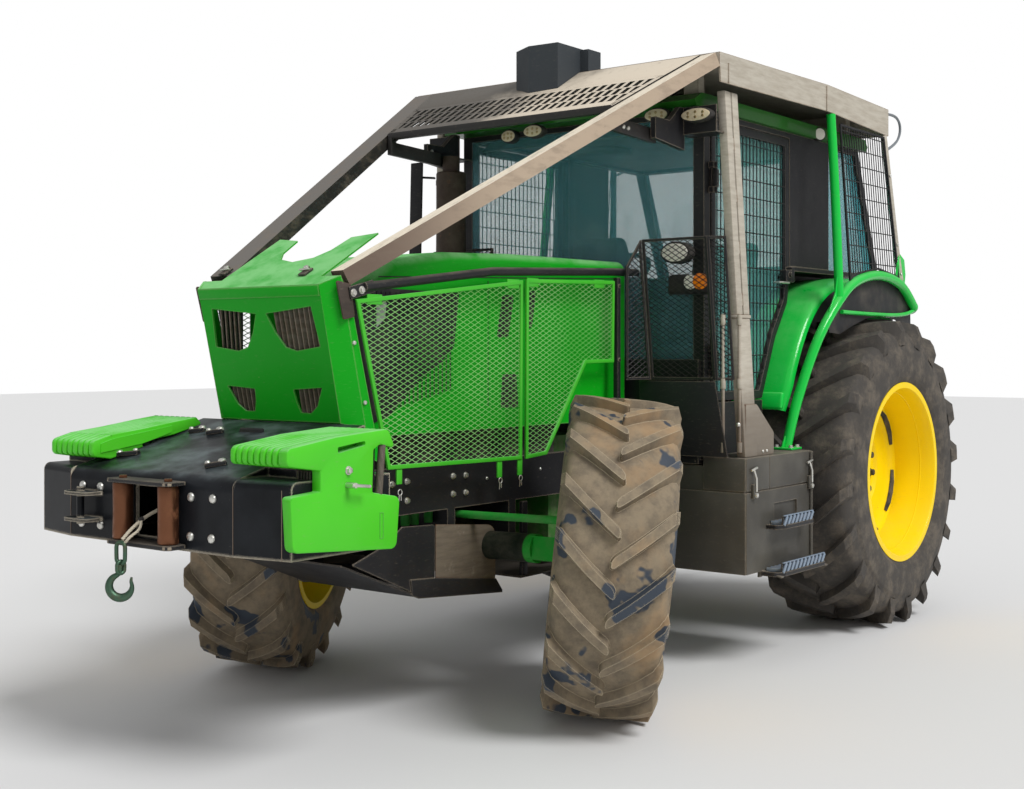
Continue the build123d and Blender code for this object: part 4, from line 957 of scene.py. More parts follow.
def make_cab_front_guards():
    """The black meshes beside the hood ahead of the cab, with the plate below and the post in front."""
    parts = []
    lattices = []
    for towards, names in CAB_FACETS:
        outline = [at(*CAB_CORNERS[name]) for name in names]
        frame_piece, lattice = mesh_panel(outline, towards, 0.014, 0.010, 0.044, 0.026, 0.0042, (1, 1, 0))
        parts.append(frame_piece)
        lattices.append(lattice)
    lower_plate = [at(440, -1711, 1395), at(866, -1711, 1395), at(930, -1700, 1031), at(440, -1700, 1031)]
    parts.append(sheet_plate(lower_plate, (0, 0.008, 0), ease=0.002))
    parts.append(block((0.028, 0.028, 0.825), at(418, -1878, 1487.5), ease=0.004))
    for z in (1120, 1500, 1860):
        parts.append(disc(0.009, 0.008, at(434, -1878, z), LEFT, sides=6, ease=0.002))
    guard = both_sides(parts, "cab_guard_frames")
    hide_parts("cab_front_guards")
    kept(guard, "black_steel")
    kept(both_sides(lattices, "cab_guard_meshes"), "mesh_black")


def make_guards():
    """All mesh guards ahead of the cab."""
    make_side_guards()
    make_cab_front_guards()


def rounded(points, radii, steps=5):
    """A flat outline whose corners are arcs; radii is one number or one for each corner."""
    count = len(points)
    radii = [radii] * count if isinstance(radii, (int, float)) else radii
    outline = []
    for index, radius in enumerate(radii):
        spot = Vector(points[index])
        before = Vector(points[index - 1]) - spot
        after = Vector(points[(index + 1) % count]) - spot
        turn = before.angle(after)
        reach = min(radius / math.tan(turn / 2), 0.48 * before.length, 0.48 * after.length) if radius else 0
        if reach < 1e-6:
            outline.append(tuple(spot))
            continue
        bend = reach * math.tan(turn / 2)
        centre = spot + (before.normalized() + after.normalized()).normalized() * (bend / math.sin(turn / 2))
        start = spot + before.normalized() * reach - centre
        end = spot + after.normalized() * reach - centre
        sweep = start.angle_signed(end)
        for step in range(steps + 1):
            turned = Matrix.Rotation(-sweep * step / steps, 2) @ start
            outline.append(tuple(centre + turned))
    return outline


def side_block(outline, x_low, x_high, ease=0.0):
    """A solid from an outline in Y and Z, between two X, in millimetres."""
    return sheet_plate([at(x_low, y, z) for y, z in outline], ((x_high - x_low) / 1000, 0, 0), ease)


def cut_away(piece, cutter):
    """Take the cutter's shape out of the piece."""
    change = piece.modifiers.new("cut", "BOOLEAN")
    change.operation = "DIFFERENCE"
    change.object = cutter
    only(piece)
    bpy.ops.object.modifier_apply(modifier="cut")
    bpy.data.objects.remove(cutter)
    return piece


def dome(place, towards, radius=0.012, high=0.008):
    """A domed bolt head standing on a surface."""
    towards = Vector(towards).normalized()
    piece = disc(radius, high * 1.2, Vector(place) + towards * high * 0.4, towards, sides=14)

    def is_top(vertex):
        return (vertex.co - Vector(place)).dot(towards) > high * 0.8

    return edited(piece, lambda mesh: [edge for edge in mesh.edges if all(map(is_top, edge.verts))],
                  lambda: bpy.ops.mesh.bevel(offset=high * 0.85, segments=3, affect="EDGES"))


def hex_bolt(place, towards, across=0.019, high=0.011):
    """A hexagon head on its washer."""
    place = Vector(place)
    towards = Vector(towards).normalized()
    head = disc(across * 0.577, high, place + towards * (high / 2 + 0.002), towards, sides=6, ease=0.0012)
    washer = disc(across * 0.78, 0.003, place + towards * 0.0015, towards, sides=18)
    return joined([head, washer], "bolt")


def heads_beside(x, spots, make, *size):
    """Bolt heads on both sides, at each Y and Z, that face outwards."""
    return [make(at(side * x, y, z), (side, 0, 0), *size) for side in (1, -1) for y, z in spots]


WINCH_FRONT = -4362
PLATE_SLOPE = 0.2545            # the rise of the winch box's top plate towards the hood


def on_winch_top(x, y, lift=0):
    """A place on the winch box's sloping top."""
    return at(x, y, 1104 + PLATE_SLOPE * (y + 4317) + lift)


def make_winch_fittings():
    """Bolts and hold-down clamps around the winch box, its seams and a slot."""
    bolts = [(-387, 1030), (-278, 1030), (247, 1024), (364, 1025), (-395, 885), (-278, 885), (243, 884),
             (357, 885)]
    heads = [dome(at(x, WINCH_FRONT, z), FRONT, 0.0165, 0.011) for x, z in bolts]
    up = (0, -PLATE_SLOPE, 1)
    clamps = [(-370, -4211, -243, -4152), (-274, -3879, -350, -3925), (-162, -3882, -235, -3935),
              (247, -4221, 170, -4290)]
    arms = []
    for x, y, tail_x, tail_y in clamps:
        start = on_winch_top(x, y, 8)
        run = on_winch_top(tail_x, tail_y, 8) - start
        arms.append(bar(start - run * 0.15, start + run * 0.6, 0.032, 0.018, ease=0.004))
        heads.append(dome(on_winch_top(x, y, 13), up, 0.016, 0.012))
        heads.append(dome(on_winch_top(x, y, 16) + run * 0.5, up, 0.011, 0.010))
    kept(joined(heads, "winch_bolts"), "bright_bolt")
    kept(joined(arms, "winch_clamps"), "black_steel")
    seams = [bar(at(x, WINCH_FRONT - 0.4, 838), at(x, WINCH_FRONT - 0.4, 1075), 0.0022, 0.0012)
             for x in (-467, 711, 467)]
    kept(joined(seams, "winch_seams"), "post_grey")
    # A black block for a slot: painted shade for its inside.
    slot = side_block(rounded([(-3858, 1210), (-3842, 1214), (-3842, 1240), (-3858, 1236)], 6), -74, 54,
                      ease=0.002)
    kept(slot, "black_plastic")


def make_fairlead():
    """Two upright rollers with worn collars, between a shelf below and one above."""
    rollers = []
    for x in (-84, 174):
        profile = [(-103, 30), (-103, 36), (-98, 38), (-60, 37.4), (0, 36.6), (60, 37.4), (98, 38), (103, 36),
                   (103, 30)]
        roller = lathe([(along / 1000, radius / 1000) for along, radius in profile], steps=36)
        rollers.append(placed(placed(roller, UPRIGHT), shift(x, -4406, 959)))
        rollers.append(disc(0.034, 0.205, at(x, -4406, 959), UP, sides=24))
        rollers.append(disc(0.016, 0.012, at(x, -4406, 1082), UP, sides=6, ease=0.002))
    kept(joined(rollers, "browned_rollers"), "roller_steel")
    shelves = []
    for z_low, z_high in ((838, 854), (1064, 1078)):
        outline = rounded([(-135, WINCH_FRONT - 0.2), (-135, -4440), (-115, -4452), (205, -4452),
                           (225, -4440), (225, WINCH_FRONT - 0.2)], 14)
        shelves.append(sheet_plate([at(x, y, z_low) for x, y in outline], (0, 0, (z_high - z_low) / 1000),
                                   ease=0.003))
    shelf = joined(shelves, "fairlead_shelves")
    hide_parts("fairlead_rollers")
    kept(shelf, "black_steel")


ROPE_ROUTE = [(60, -4010, 1027), (62, -4180, 1012), (56, -4330, 975), (26, -4428, 927), (6, -4476, 866)]
ROPE_WIDE = 0.014


def line_of(points):
    """The smooth line along a route's points, as the vertices that the spline gives."""
    holder = curve_through(points, resolution=12)[0]
    mesh = bpy.data.meshes.new_from_object(holder)
    line = [vertex.co.copy() for vertex in mesh.vertices]
    bpy.data.objects.remove(holder)
    bpy.data.meshes.remove(mesh)
    return line


def laid_rope(line, wide, turns_per_metre=28, strands=3):
    """A laid rope: strands wound about a line."""
    tops = []
    side = Vector(LEFT)
    for strand in range(strands):
        spots = []
        length = 0
        for index, spot in enumerate(line):
            ahead = line[min(index + 1, len(line) - 1)] - line[max(index - 1, 0)]
            if index:
                length += (spot - line[index - 1]).length
            along = ahead.normalized()
            across = (side - along * side.dot(along)).normalized()
            turn = Matrix.Rotation(2 * math.pi * (length * turns_per_metre + strand / strands), 3, along)
            spots.append(spot + turn @ across * wide * 0.24)
        tops.append(tube(spots, wide * 0.27, sides=8, smooth=False))
    return joined(tops, "rope")


def finer(line, step):
    """The line's points, closer together."""
    dense = [line[0]]
    for spot, after in zip(line, line[1:]):
        count = max(1, round((after - spot).length / step))
        dense += [spot.lerp(after, share / count) for share in range(1, count + 1)]
    return dense


def make_rope():
    """The winch rope with the spliced eye at its end and its seizing band; the chain and hook that it carries are
    made by make_hook.
    """
    route = [at(*point) for point in ROPE_ROUTE]
    line = line_of(route)
    rope = laid_rope(finer(line, 0.004), ROPE_WIDE)
    rope.name = "winch_line"
    start = route[3].lerp(route[2], 0.15)
    bight = [start, start + Vector((0.022, -0.012, -0.030)), route[4] + Vector((0.034, 0, 0.008)),
             route[4] + Vector((0.012, 0, -0.016)), route[4] + Vector((-0.004, 0, -0.004))]
    eye = laid_rope(finer(line_of(bight), 0.004), ROPE_WIDE * 0.8)
    eye.name = "rope_eye"
    along = route[3] - route[2]
    band = disc(ROPE_WIDE * 0.62, 0.018, start, along, sides=16, ease=0.002)
    band.name = "rope_seizing"
    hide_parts("winch_rope")
    kept(rope, "wire_rope", smooth=60)
    kept(eye, "wire_rope", smooth=60)
    kept(band, "black_plastic")
    length = sum((after - spot).length for spot, after in zip(line, line[1:]))
    [tuple(spot) for spot in line]


HOOK_TOP = (4, -4482, 858)
HOOK_DROP = 160


def chain_link(place, turn, long=0.062, wide=0.040, wire=0.0075):
    """One oval link, standing upright and turned about the upright."""
    bend = wide / 2 - wire
    reach = long / 2 - wide / 2
    spots = [Vector((x, 0, z + (reach if z >= 0 else -reach))) for x, z in circle(24, bend)]
    link = tube(spots, wire, sides=12, closed=True)
    return placed(link, Matrix.Translation(place) @ Matrix.Rotation(math.radians(turn), 4, "Z"))


def make_hook():
    """Two links and a forged hook, thick in its bowl, that opens towards the tractor's left."""
    x, y, z = HOOK_TOP
    parts = [chain_link(at(x, y, z - 40), 8, 0.094, 0.058), chain_link(at(x, y, z - 92), 80, 0.058, 0.044)]
    centre = at(x, y, z - HOOK_DROP)
    spots = []
    radii = []
    for step in range(13):
        share = step / 12
        angle = math.radians(105 + 285 * share)
        reach = 0.043 - 0.002 * share
        spots.append(Vector((reach * math.cos(angle), 0, reach * math.sin(angle))))
        swell = 0.0075 * math.sin(math.pi * min(1, share * 1.12))
        radii.append(0.009 + swell - 0.003 * max(0, share - 0.8) / 0.2)
    spots.append(spots[-1] + Vector((0.004, 0, 0.012)))
    radii.append(0.004)
    shank = [Vector((-0.004, 0, 0.078)), Vector((-0.004, 0, 0.062)), Vector((-0.006, 0, 0.050))]
    bowl = tube(shank + spots, 1, sides=12, shares=[0.012, 0.0110, 0.0100] + radii)
    placed(bowl, Matrix.Translation(centre) @ Matrix.Rotation(math.radians(38), 4, "Z"))
    parts.append(bowl)
    hook = joined(parts, "chain_and_hook")
    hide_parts("winch_hook")
    kept(hook, "hook_steel", smooth=60)


def make_winch():
    """What belongs to the winch."""
    make_winch_fittings()
    make_fairlead()
    make_rope()
    make_hook()


WEIGHT_HEAD = [(-4378, 1216), (-4378, 1156), (-4226, 1134), (-3968, 1134), (-3962, 1192), (-3927, 1209),
               (-3849, 1190), (-3885, 1263), (-4149, 1246)]
WEIGHT_WHOLE = [(-4381, 1216), (-4381, 1158), (-4226, 1134), (-4226, 1062), (-4366, 1054), (-4353, 866),
                (-3842, 826), (-3824, 1014), (-3968, 1040), (-3962, 1192), (-3927, 1209), (-3849, 1190),
                (-3885, 1263), (-4149, 1246)]
WEIGHT_LAID = [(-4335, 1195), (-4335, 1137), (-4250, 1123), (-4100, 1161), (-4100, 1180), (-3940, 1204),
               (-3800, 1240), (-3830, 1270), (-3940, 1257), (-4100, 1235), (-4250, 1218)]
HEAD_ROUND = [24, 18, 4, 4, 10, 14, 10, 26, 40]
WHOLE_ROUND = [24, 18, 4, 4, 12, 28, 28, 26, 8, 10, 14, 10, 26, 40]
LAID_ROUND = [22, 20, 12, 4, 10, 20, 8, 14, 60, 60, 40]


SLABS = 8


def slab_row(slab, first, pitch):
    """Slabs side by side, from the first one's move along X."""
    return repeated(slab, [Matrix.Translation((first + pitch * index, 0, 0)) for index in range(SLABS)],
                    "slabs")


def make_ballast():
    """Slab weights with rounded edges: hung on the left with the outermost whole, and laid on the right."""
    head = side_block(rounded(WEIGHT_HEAD, HEAD_ROUND), 0, 24, ease=0.006)
    hung = slab_row(head, 0.470, 0.030)
    whole = side_block(rounded(WEIGHT_WHOLE, WHOLE_ROUND), 713, 757, ease=0.006)
    handle = rounded([(-4143, 1188), (-4006, 1209), (-4006, 1226), (-4143, 1210)], [4, 8, 8, 4])
    cut_away(whole, side_block(handle, 700, 780))
    laid = side_block(rounded(WEIGHT_LAID, LAID_ROUND), 0, 28, ease=0.006)
    right = slab_row(laid, -0.635, 0.0344)
    core = side_block([(-4300, 1185), (-4300, 1150), (-4105, 1176), (-3960, 1214), (-3960, 1240),
                       (-4250, 1200)], -634, -362)
    weights = joined([hung, whole, right, core], "slab_weights")
    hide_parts("ballast_weights")
    kept(weights, "weight_green", smooth=35)
    pin = [disc(0.010, 0.052, at(778, -4099, 1077), LEFT, sides=16, ease=0.003),
           disc(0.0065, 0.092, at(800, -4072, 1074), (0, 1, -0.12), sides=12, ease=0.002),
           hex_bolt(at(757, -4093, 1127), LEFT, 0.020, 0.012)]
    kept(joined(pin, "weight_pin"), "bright_bolt")
    ribs = [side_block([(-4222, 1128), (-3975, 1128), (-3975, 1048), (-4222, 1066)], 640 + 14 * n,
                       647 + 14 * n, ease=0.001) for n in range(5)]
    ribs.append(side_block([(-4225, 1132), (-3972, 1132), (-3972, 1046), (-4225, 1064)], 636, 640))
    kept(joined(ribs, "ribbed_block"), "black_steel")
    rod = disc(0.014, 0.200, at(742, -3914, 1120), (0, 0.1, 1), sides=20, ease=0.003)
    kept(rod, "black_steel").name = "weight_rod"
    outline = edge_frame([at(757, y, z) for y, z in ((-3933, 965), (-3914, 965), (-3914, 872), (-3933, 872))],
                         LEFT, 0.0022, 0.0015)
    kept(outline, "green_paint").name = "weight_window"
    guide = side_block(rounded([(-3948, 1050), (-3912, 1050), (-3908, 1206), (-3940, 1206)], 4), 700, 712,
                       ease=0.003)
    kept(guide, "black_steel").name = "weight_guide"


def nose_y(z, behind=0):
    """Where the nose plate's front is at a height."""
    return -3712 - 125 * (z - 1262) / 535 + behind


COVER_SLOPE = 0.585


def on_cover(x, y, lift=0):
    """A place on the horned cover."""
    return at(x, y, 1833 + COVER_SLOPE * (y + 3763) + lift)


# The slats behind the cut-outs: X of the first and last, their number, lower and upper Z, lean of the top
NOSE_SLATS = [
    (62, 286, 9, 1546, 1712, 0), (130, 262, 6, 1302, 1394, 0), (-286, -180, 5, 1550, 1712, 26),
    (-262, -130, 6, 1302, 1394, 0),
]


def make_nose():
    """The slats behind the cut-outs, the folded strip below the cover, its clamps and the side screws."""
    slats = []
    for first, last, count, low, high, lean in NOSE_SLATS:
        for index in range(count):
            x = first + (last - first) * index / (count - 1)
            slats.append(bar(at(x, nose_y(low, 26), low - 6), at(x + lean, nose_y(high, 26), high + 4), 0.005,
                             0.024, ease=0.001))
    kept(joined(slats, "nose_slats"), "grey_steel")
    screen = side_block([(-3700, 1740), (-3560, 1752), (-3560, 1290), (-3604, 1290)], 388, 391)
    kept(both_sides(screen, "inner_screens"), "black_plastic")
    lip = sheet_plate([at(x, nose_y(z, -1), z)
                       for x, z in ((-348, 1753), (348, 1753), (350, 1795), (-350, 1795))],
                      (0, -0.004, -0.001), ease=0.0015)
    kept(lip, "green_paint").name = "folded_lip"
    clamps = []
    handles = []
    tilt = (math.atan(COVER_SLOPE), 0, 0)
    for x, y in ((-327, -3708), (180, -3740)):
        clamps.append(block((0.040, 0.055, 0.010), on_cover(x, y, 7), tilt, ease=0.003))
        clamps.append(block((0.022, 0.022, 0.016), on_cover(x, y + 6, 16), tilt, ease=0.003))
        handles.append(disc(0.0045, 0.046, on_cover(x, y - 8, 22), (1, 0.25, 0.1), sides=12, ease=0.0015))
        handles.append(disc(0.011, 0.018, on_cover(x, y + 4, 20), (0, -0.5, 1), sides=16, ease=0.002))
    kept(joined(clamps, "cover_clamps"), "black_steel")
    for y, z in ((-3696, 1574), (-3636, 1341)):
        for side in (1, -1):
            handles.append(dome(at(side * 402, y, z), (side, -0.3, 0), 0.009, 0.006))
    kept(joined(handles, "nose_bolts"), "bright_bolt")


# Dark openings and panels on the hood's sides, as Y and Z; the openings are black plates of painted shade
HOOD_GRILLE = [(-3548, 1795), (-2999, 1790), (-3012, 1714), (-3032, 1562), (-3116, 1495), (-3279, 1406),
               (-3435, 1282), (-3548, 1250)]
HOOD_SLOTS = [
    [(-2697, 1791), (-2610, 1794), (-2654, 1607), (-2739, 1597)],
    [(-2506, 1815), (-2446, 1818), (-2476, 1653), (-2521, 1635)],
    [(-2697, 1439), (-2595, 1438), (-2581, 1286), (-2711, 1290)],
]


def make_hood_sides():
    """The dark grille on each side of the hood, its slots as black plates of painted shade, its seams and its
    lamp.
    """
    panel = side_block(rounded(HOOD_GRILLE, 12), 346, 350, ease=0.0015)
    feet = [(-3540 + 26 * n, 1300) for n in range(5)] + [(-3400 + 26 * n, 1310 + 5.04 * n) for n in range(14)]
    ribs = [bar(at(352, y, low), at(352, y, 1780), 0.004, 0.006) for y, low in feet]
    kept(both_sides([panel, *ribs], "side_grilles"), "black_plastic")
    # Black plates for the slots: painted shade for the openings' insides.
    slots = [side_block(rounded(outline, 14), 346, 348, ease=0.0008) for outline in HOOD_SLOTS]
    kept(both_sides(slots, "hood_slot_painted_shade"), "black_plastic")
    seams = [side_block([(-3500, 1838), (-1760, 1900), (-1760, 1904), (-3500, 1842)], 345.4, 347),
             side_block([(-2800, 1850), (-2796, 1850), (-2796, 1300), (-2800, 1300)], 345.4, 347)]
    kept(both_sides(seams, "hood_seams"), "black_plastic")
    lamp = side_block(rounded([(-3550, 1738), (-3458, 1744), (-3470, 1672), (-3550, 1612)], 10), 347, 356,
                      ease=0.004)
    kept(both_sides(lamp, "side_headlamps"), "lamp_lens")


def make_oil_filters():
    """The green canisters in a row ahead of the front axle, below the frame rails."""
    canisters = [disc(0.020, 0.075, at(x, y, 838), UP, sides=16, ease=0.004)
                 for x in (200, -200) for y in (-3180, -3120, -3030)]
    kept(joined(canisters, "oil_filters"), "axle_green")


def make_rear_fittings():
    """Behind the cab: the wall's bolted cover, the tail lamps on their brackets and the oil couplings."""
    covers = [block((0.620, 0.008, 0.300), at(0, 484, 1420), ease=0.003),
              block((0.520, 0.008, 0.012), at(0, 484, 1585), ease=0.002)]
    bolts = [dome(at(x, 488, z), REAR, 0.010, 0.006) for x in (-285, 285) for z in (1295, 1545)]
    lamps = []
    lenses = []
    for side in (1, -1):
        covers.append(bar(at(side * 640, 540, 1745), at(side * 640, 592, 1700), 0.040, 0.008, ease=0.002))
        lamps.append(block((0.220, 0.040, 0.090), at(side * 690, 604, 1700), ease=0.008))
        lenses.append(block((0.120, 0.008, 0.074), at(side * 662, 626, 1700), ease=0.003))
        lenses.append(block((0.062, 0.008, 0.074), at(side * 758, 626, 1700), ease=0.003))
    for x in (-150, -90, -30, 30, 90, 150):
        covers.append(disc(0.019, 0.060, at(x, 500, 1270), (0, 1, 0.2), sides=20, ease=0.004))
        bolts.append(disc(0.012, 0.074, at(x, 505, 1271), (0, 1, 0.2), sides=16, ease=0.003))
    kept(joined(covers, "rear_covers"), "black_steel")
    kept(joined(lamps, "tail_lamp_cases"), "black_plastic")
    kept(joined(lenses, "tail_lamp_lenses"), "lamp_red")
    kept(joined(bolts, "rear_wall_bolts"), "bright_bolt")


def make_riser_feet():
    """The brackets that hold the risers and rails to the nose, and their bolts and the frame rail's."""
    foot = side_block(rounded([(-3802, 1812), (-3724, 1800), (-3700, 1674), (-3761, 1662)], 8), 403, 411,
                      ease=0.002)
    kept(both_sides(foot, "riser_feet"), "foot_brown")
    ears = [bar(at(x, -3735, 1764), at(x, -3600, 1797), 0.010, 0.050, ease=0.003) for x in (414, -414)]
    kept(joined(ears, "rail_ears"), "black_steel")
    rail_bolts = ((-3364, 996), (-3272, 1001), (-3272, 921), (-2975, 1002), (-2890, 1000), (-2975, 925),
                  (-2890, 925))
    heads = heads_beside(419, ((-3719, 1766), (-3673, 1778)), hex_bolt, 0.020, 0.009)
    heads += heads_beside(292, rail_bolts, hex_bolt, 0.018, 0.011)
    heads += heads_beside(292, ((-2740, 975), (-2340, 990)), dome, 0.008, 0.006)
    kept(joined(heads, "frame_bolts"), "bright_bolt")


def make_belly():
    """The plates below the engine: two folded trays and the side plates, of which one pair is brown."""
    def folded(line, x_low, x_high, thick):
        return side_block(line + [(y, z + thick) for y, z in reversed(line)], x_low, x_high, ease=0.0015)

    tray = folded([(-3700, 700), (-3250, 520), (-2690, 470)], -334, 334, 8)
    strip = side_block([(-3300, 600), (-3138, 588), (-2735, 534), (-2690, 478), (-2690, 466), (-3250, 516),
                        (-3290, 532)], 334, 342, ease=0.0015)
    front = side_block(rounded([(-3640, 700), (-3250, 530), (-3140, 560), (-3140, 812), (-3345, 822),
                                (-3440, 760)], [4, 4, 4, 12, 12, 12]), 326, 333,
                       ease=0.0015)
    rear = folded([(-2500, 500), (-1300, 500)], -300, 300, 8)
    bars = [block((0.020, 0.040, 0.342), at(side * 285, -2460, 679), ease=0.003) for side in (1, -1)]
    parts = [tray, rear, *bars, both_sides(strip, "strips"), both_sides(front, "fronts")]
    plates = joined(parts, "belly_plates")
    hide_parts("belly_guard")
    kept(plates, "black_steel")
    brown = side_block(rounded([(-3138, 588), (-2735, 534), (-2735, 772), (-3138, 812)], [3, 4, 55, 3]), 331,
                       337, ease=0.0015)
    kept(both_sides(brown, "brown_plates"), "plate_brown")


VISOR_SLOPE = 0.5696
VISOR_BARS = 28                 # upright bars in each row of slots


def on_slope(x, y, lift=0):
    """A place on the visor's slope, which goes on from the risers."""
    return at(x, y, 2950 + VISOR_SLOPE * (y + 1802) + lift)


VISOR_ROWS = [(-2045, -2113), (-2123, -2190), (-2200, -2267)]     # Y of each row of slots


def visor_half(y):
    """The visor's half width, which narrows towards its front."""
    return 775 + (y + 2018) * 87 / 312


def make_visor():
    """The visor: a plate with three rows of straight slots, its rounded front edge and the arms below it."""
    down = Vector((0, 0.004, -0.007))
    parts = []

    def strip(y_high, y_low, high, low, ease):
        """A part of the plate between two heights; high and low are its two ends' X there."""
        corners = [on_slope(x, y_high) for x in high] + [on_slope(x, y_low) for x in reversed(low)]
        parts.append(sheet_plate(corners, down, ease=ease))

    strip(-1809, -2018, (-840, 840), (-775, 775), 0.001)
    edges = [-2018, *(y for row in VISOR_ROWS for y in row), -2330]
    for y_high, y_low in zip(edges[::2], edges[1::2]):
        high, low = visor_half(y_high), visor_half(y_low)
        strip(y_high, y_low, (-high, high), (-low, low), 0.001)
    for side in (1, -1):
        outer = [on_slope(side * visor_half(y), y) for y in (-2018, -2330)]
        inner = [on_slope(side * (visor_half(y) - 34), y) for y in (-2330, -2018)]
        parts.append(sheet_plate(outer + inner, down * 3.4, ease=0.003))
    for y_high, y_low in VISOR_ROWS:
        half = visor_half(y_low) - 30
        for index in range(VISOR_BARS):
            x = -half + (index + 0.5) * 2 * half / VISOR_BARS
            strip(y_high, y_low, (x - 11, x + 11), (x - 11, x + 11), 0.0008)
    parts.append(bar(on_slope(-688, -2318, -18), on_slope(688, -2318, -18), 0.030, 0.040, ease=0.012))
    for side in (1, -1):
        arm = side_block([(-2335, 2632), (-2335, 2543), (-1945, 2525), (-1945, 2591), (-2290, 2607)], 655,
                         683, ease=0.003)
        parts.append(placed(arm, MIRROR) if side < 0 else arm)
    visor = joined(parts, "slotted_visor")
    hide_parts("visor_grille")
    kept(visor, "visor_black")
    bolts = heads_beside(684, ((-2230, 2568), (-2190, 2566), (-1985, 2600), (-1985, 2560)), dome, 0.011,
                         0.007)
    bolts += [dome(at(x, -1803, 2892), FRONT, 0.013, 0.008) for x in (771, 854, -771, -854)]
    kept(joined(bolts, "visor_bolts"), "bright_bolt")


LAMPS = [(-316, 2670, 50), (-156, 2682, 64), (592, 2688, 70), (812, 2668, 84)]     # X, Z and half width


def oval(half, high, depth, sides, ease):
    """A disc that faces forward, drawn out to an oval, in metres."""
    piece = disc(1, depth, (0, 0, 0), REAR, sides=sides)
    piece.data.transform(Matrix.Diagonal((half, 1, high, 1)))
    return eased(piece, ease)


def make_roof_lamps():
    """Oval work lamps: a black case, a cream lens and its rows of small reflectors."""
    cases = []
    lenses = []
    cups = []
    for x, z, half in LAMPS:
        cases.append(placed(oval(half / 1000, 0.036, 0.045, 40, 0.005), shift(x, -1777, z)))
        lenses.append(placed(oval((half - 7) / 1000, 0.029, 0.006, 40, 0.002), shift(x, -1800.5, z)))
        for column in (-1, 0, 1):
            for row in (-1, 1):
                spot = at(x + column * half * 0.48, -1802, z + row * 12 * (1 if column == 0 else 0.7))
                cups.append(disc(0.0075, 0.006, spot, REAR, sides=14, ease=0.0015))
    case = joined(cases, "lamp_cases")
    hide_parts("roof_lamps")
    kept(case, "black_plastic", smooth=50)
    kept(joined(lenses, "lamp_lenses"), "lamp_cream")
    kept(joined(cups, "lamp_cups"), "lamp_cup")


def make_cab_lamps():
    """The round work lamps on the cab's sides, and the lamp clusters behind the front meshes."""
    cases = []
    white = []
    amber = []
    for side in (1, -1):
        cases.append(disc(0.038, 0.030, at(side * 790, -406, 2746), (side, -0.6, 0), sides=28, ease=0.005))
        white.append(disc(0.032, 0.006, at(side * 802, -416, 2746), (side, -0.6, 0), sides=28, ease=0.002))
        cases.append(block((0.230, 0.050, 0.100), at(side * 715, -1688, 1866), ease=0.020))
        white.append(disc(0.036, 0.010, at(side * 735, -1716, 1876), FRONT, sides=24, ease=0.003))
        amber.append(disc(0.040, 0.014, at(side * 790, -1716, 1878), FRONT, sides=24, ease=0.003))
        cases.append(placed(oval(0.082, 0.054, 0.060, 32, 0.003), shift(side * 650, -1690, 2022)))
        white.append(placed(oval(0.072, 0.045, 0.010, 32, 0.003), shift(side * 650, -1722, 2022)))
    kept(joined(cases, "cab_lamp_cases"), "black_plastic", smooth=50)
    kept(joined(white, "cab_lamp_lenses"), "lamp_white")
    kept(joined(amber, "turn_lamps"), "lamp_amber")


def leaned(x, y, z):
    """A place on the outer post, whose top stands in and forward."""
    share = (z - 1031) / 1759
    return at(x - 78 * share, y - 58 * share, z)


def lean_block(x_low, x_high, y_low, y_high, z_low, z_high, ease=0.0):
    """An upright bar that follows the outer post's lean."""
    corners = ((x_low, y_low), (x_high, y_low), (x_high, y_high), (x_low, y_high))
    foot = [leaned(x, y, z_low) for x, y in corners]
    run = leaned(x_low, y_low, z_high) - leaned(x_low, y_low, z_low)
    return sheet_plate(foot, run, ease)


def make_outer_posts():
    """The posts outside the doors: plain below, two bars above with a slotted gap, and a foot gusset."""
    parts = [lean_block(940, 985, -1627, -1500, 1031, 1700, ease=0.005),
             lean_block(936, 989, -1631, -1496, 1700, 1716, ease=0.003),
             lean_block(940, 985, -1627, -1570, 1716, 2790, ease=0.005),
             lean_block(940, 985, -1560, -1500, 1716, 2790, ease=0.005)]
    for low in range(1760, 2760, 250):
        parts.append(lean_block(944, 981, -1572, -1558, low, low + 60))
    gusset = rounded([(-1612, 1031), (-1320, 1031), (-1320, 1140), (-1500, 1284), (-1612, 1284)],
                     [2, 10, 20, 30, 2])
    parts.append(side_block(gusset, 945, 980, ease=0.003))
    posts = both_sides(parts, "slotted_posts")
    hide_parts("outer_posts")
    kept(posts, "post_grey")
    rods = []
    for side in (1, -1):
        for x, y in ((962, -1642), (900, -1690)):
            rods.append(disc(0.008, 0.66, at(side * x, y, 1390), UP, sides=14, ease=0.002))
            for z in (1080, 1385, 1690):
                rods.append(disc(0.013, 0.05, at(side * x, y, z), UP, sides=14, ease=0.002))
    kept(joined(rods, "hinge_rods"), "post_grey")
    balls = []
    for side in (1, -1):
        bpy.ops.mesh.primitive_uv_sphere_add(segments=16, ring_count=10, radius=0.011,
                                             location=at(side * 962, -1654, 1190))
        balls.append(settled(bpy.context.object))
    kept(joined(balls, "latch_balls"), "bright_bolt")


DOOR_OUTLINE = [(-1560, 1295), (-1030, 1295), (-880, 1610), (-740, 1800), (-720, 1900), (-720, 2685),
                (-1560, 2685)]


def level_of(outline, value, axis):
    """Where an upright or level line crosses an outline: the crossings along the other axis, in order."""
    found = []
    for spot, after in zip(outline, outline[1:] + outline[:1]):
        if (spot[axis] - value) * (after[axis] - value) < 0:
            share = (value - spot[axis]) / (after[axis] - spot[axis])
            found.append(spot[1 - axis] + share * (after[1 - axis] - spot[1 - axis]))
    return sorted(found)


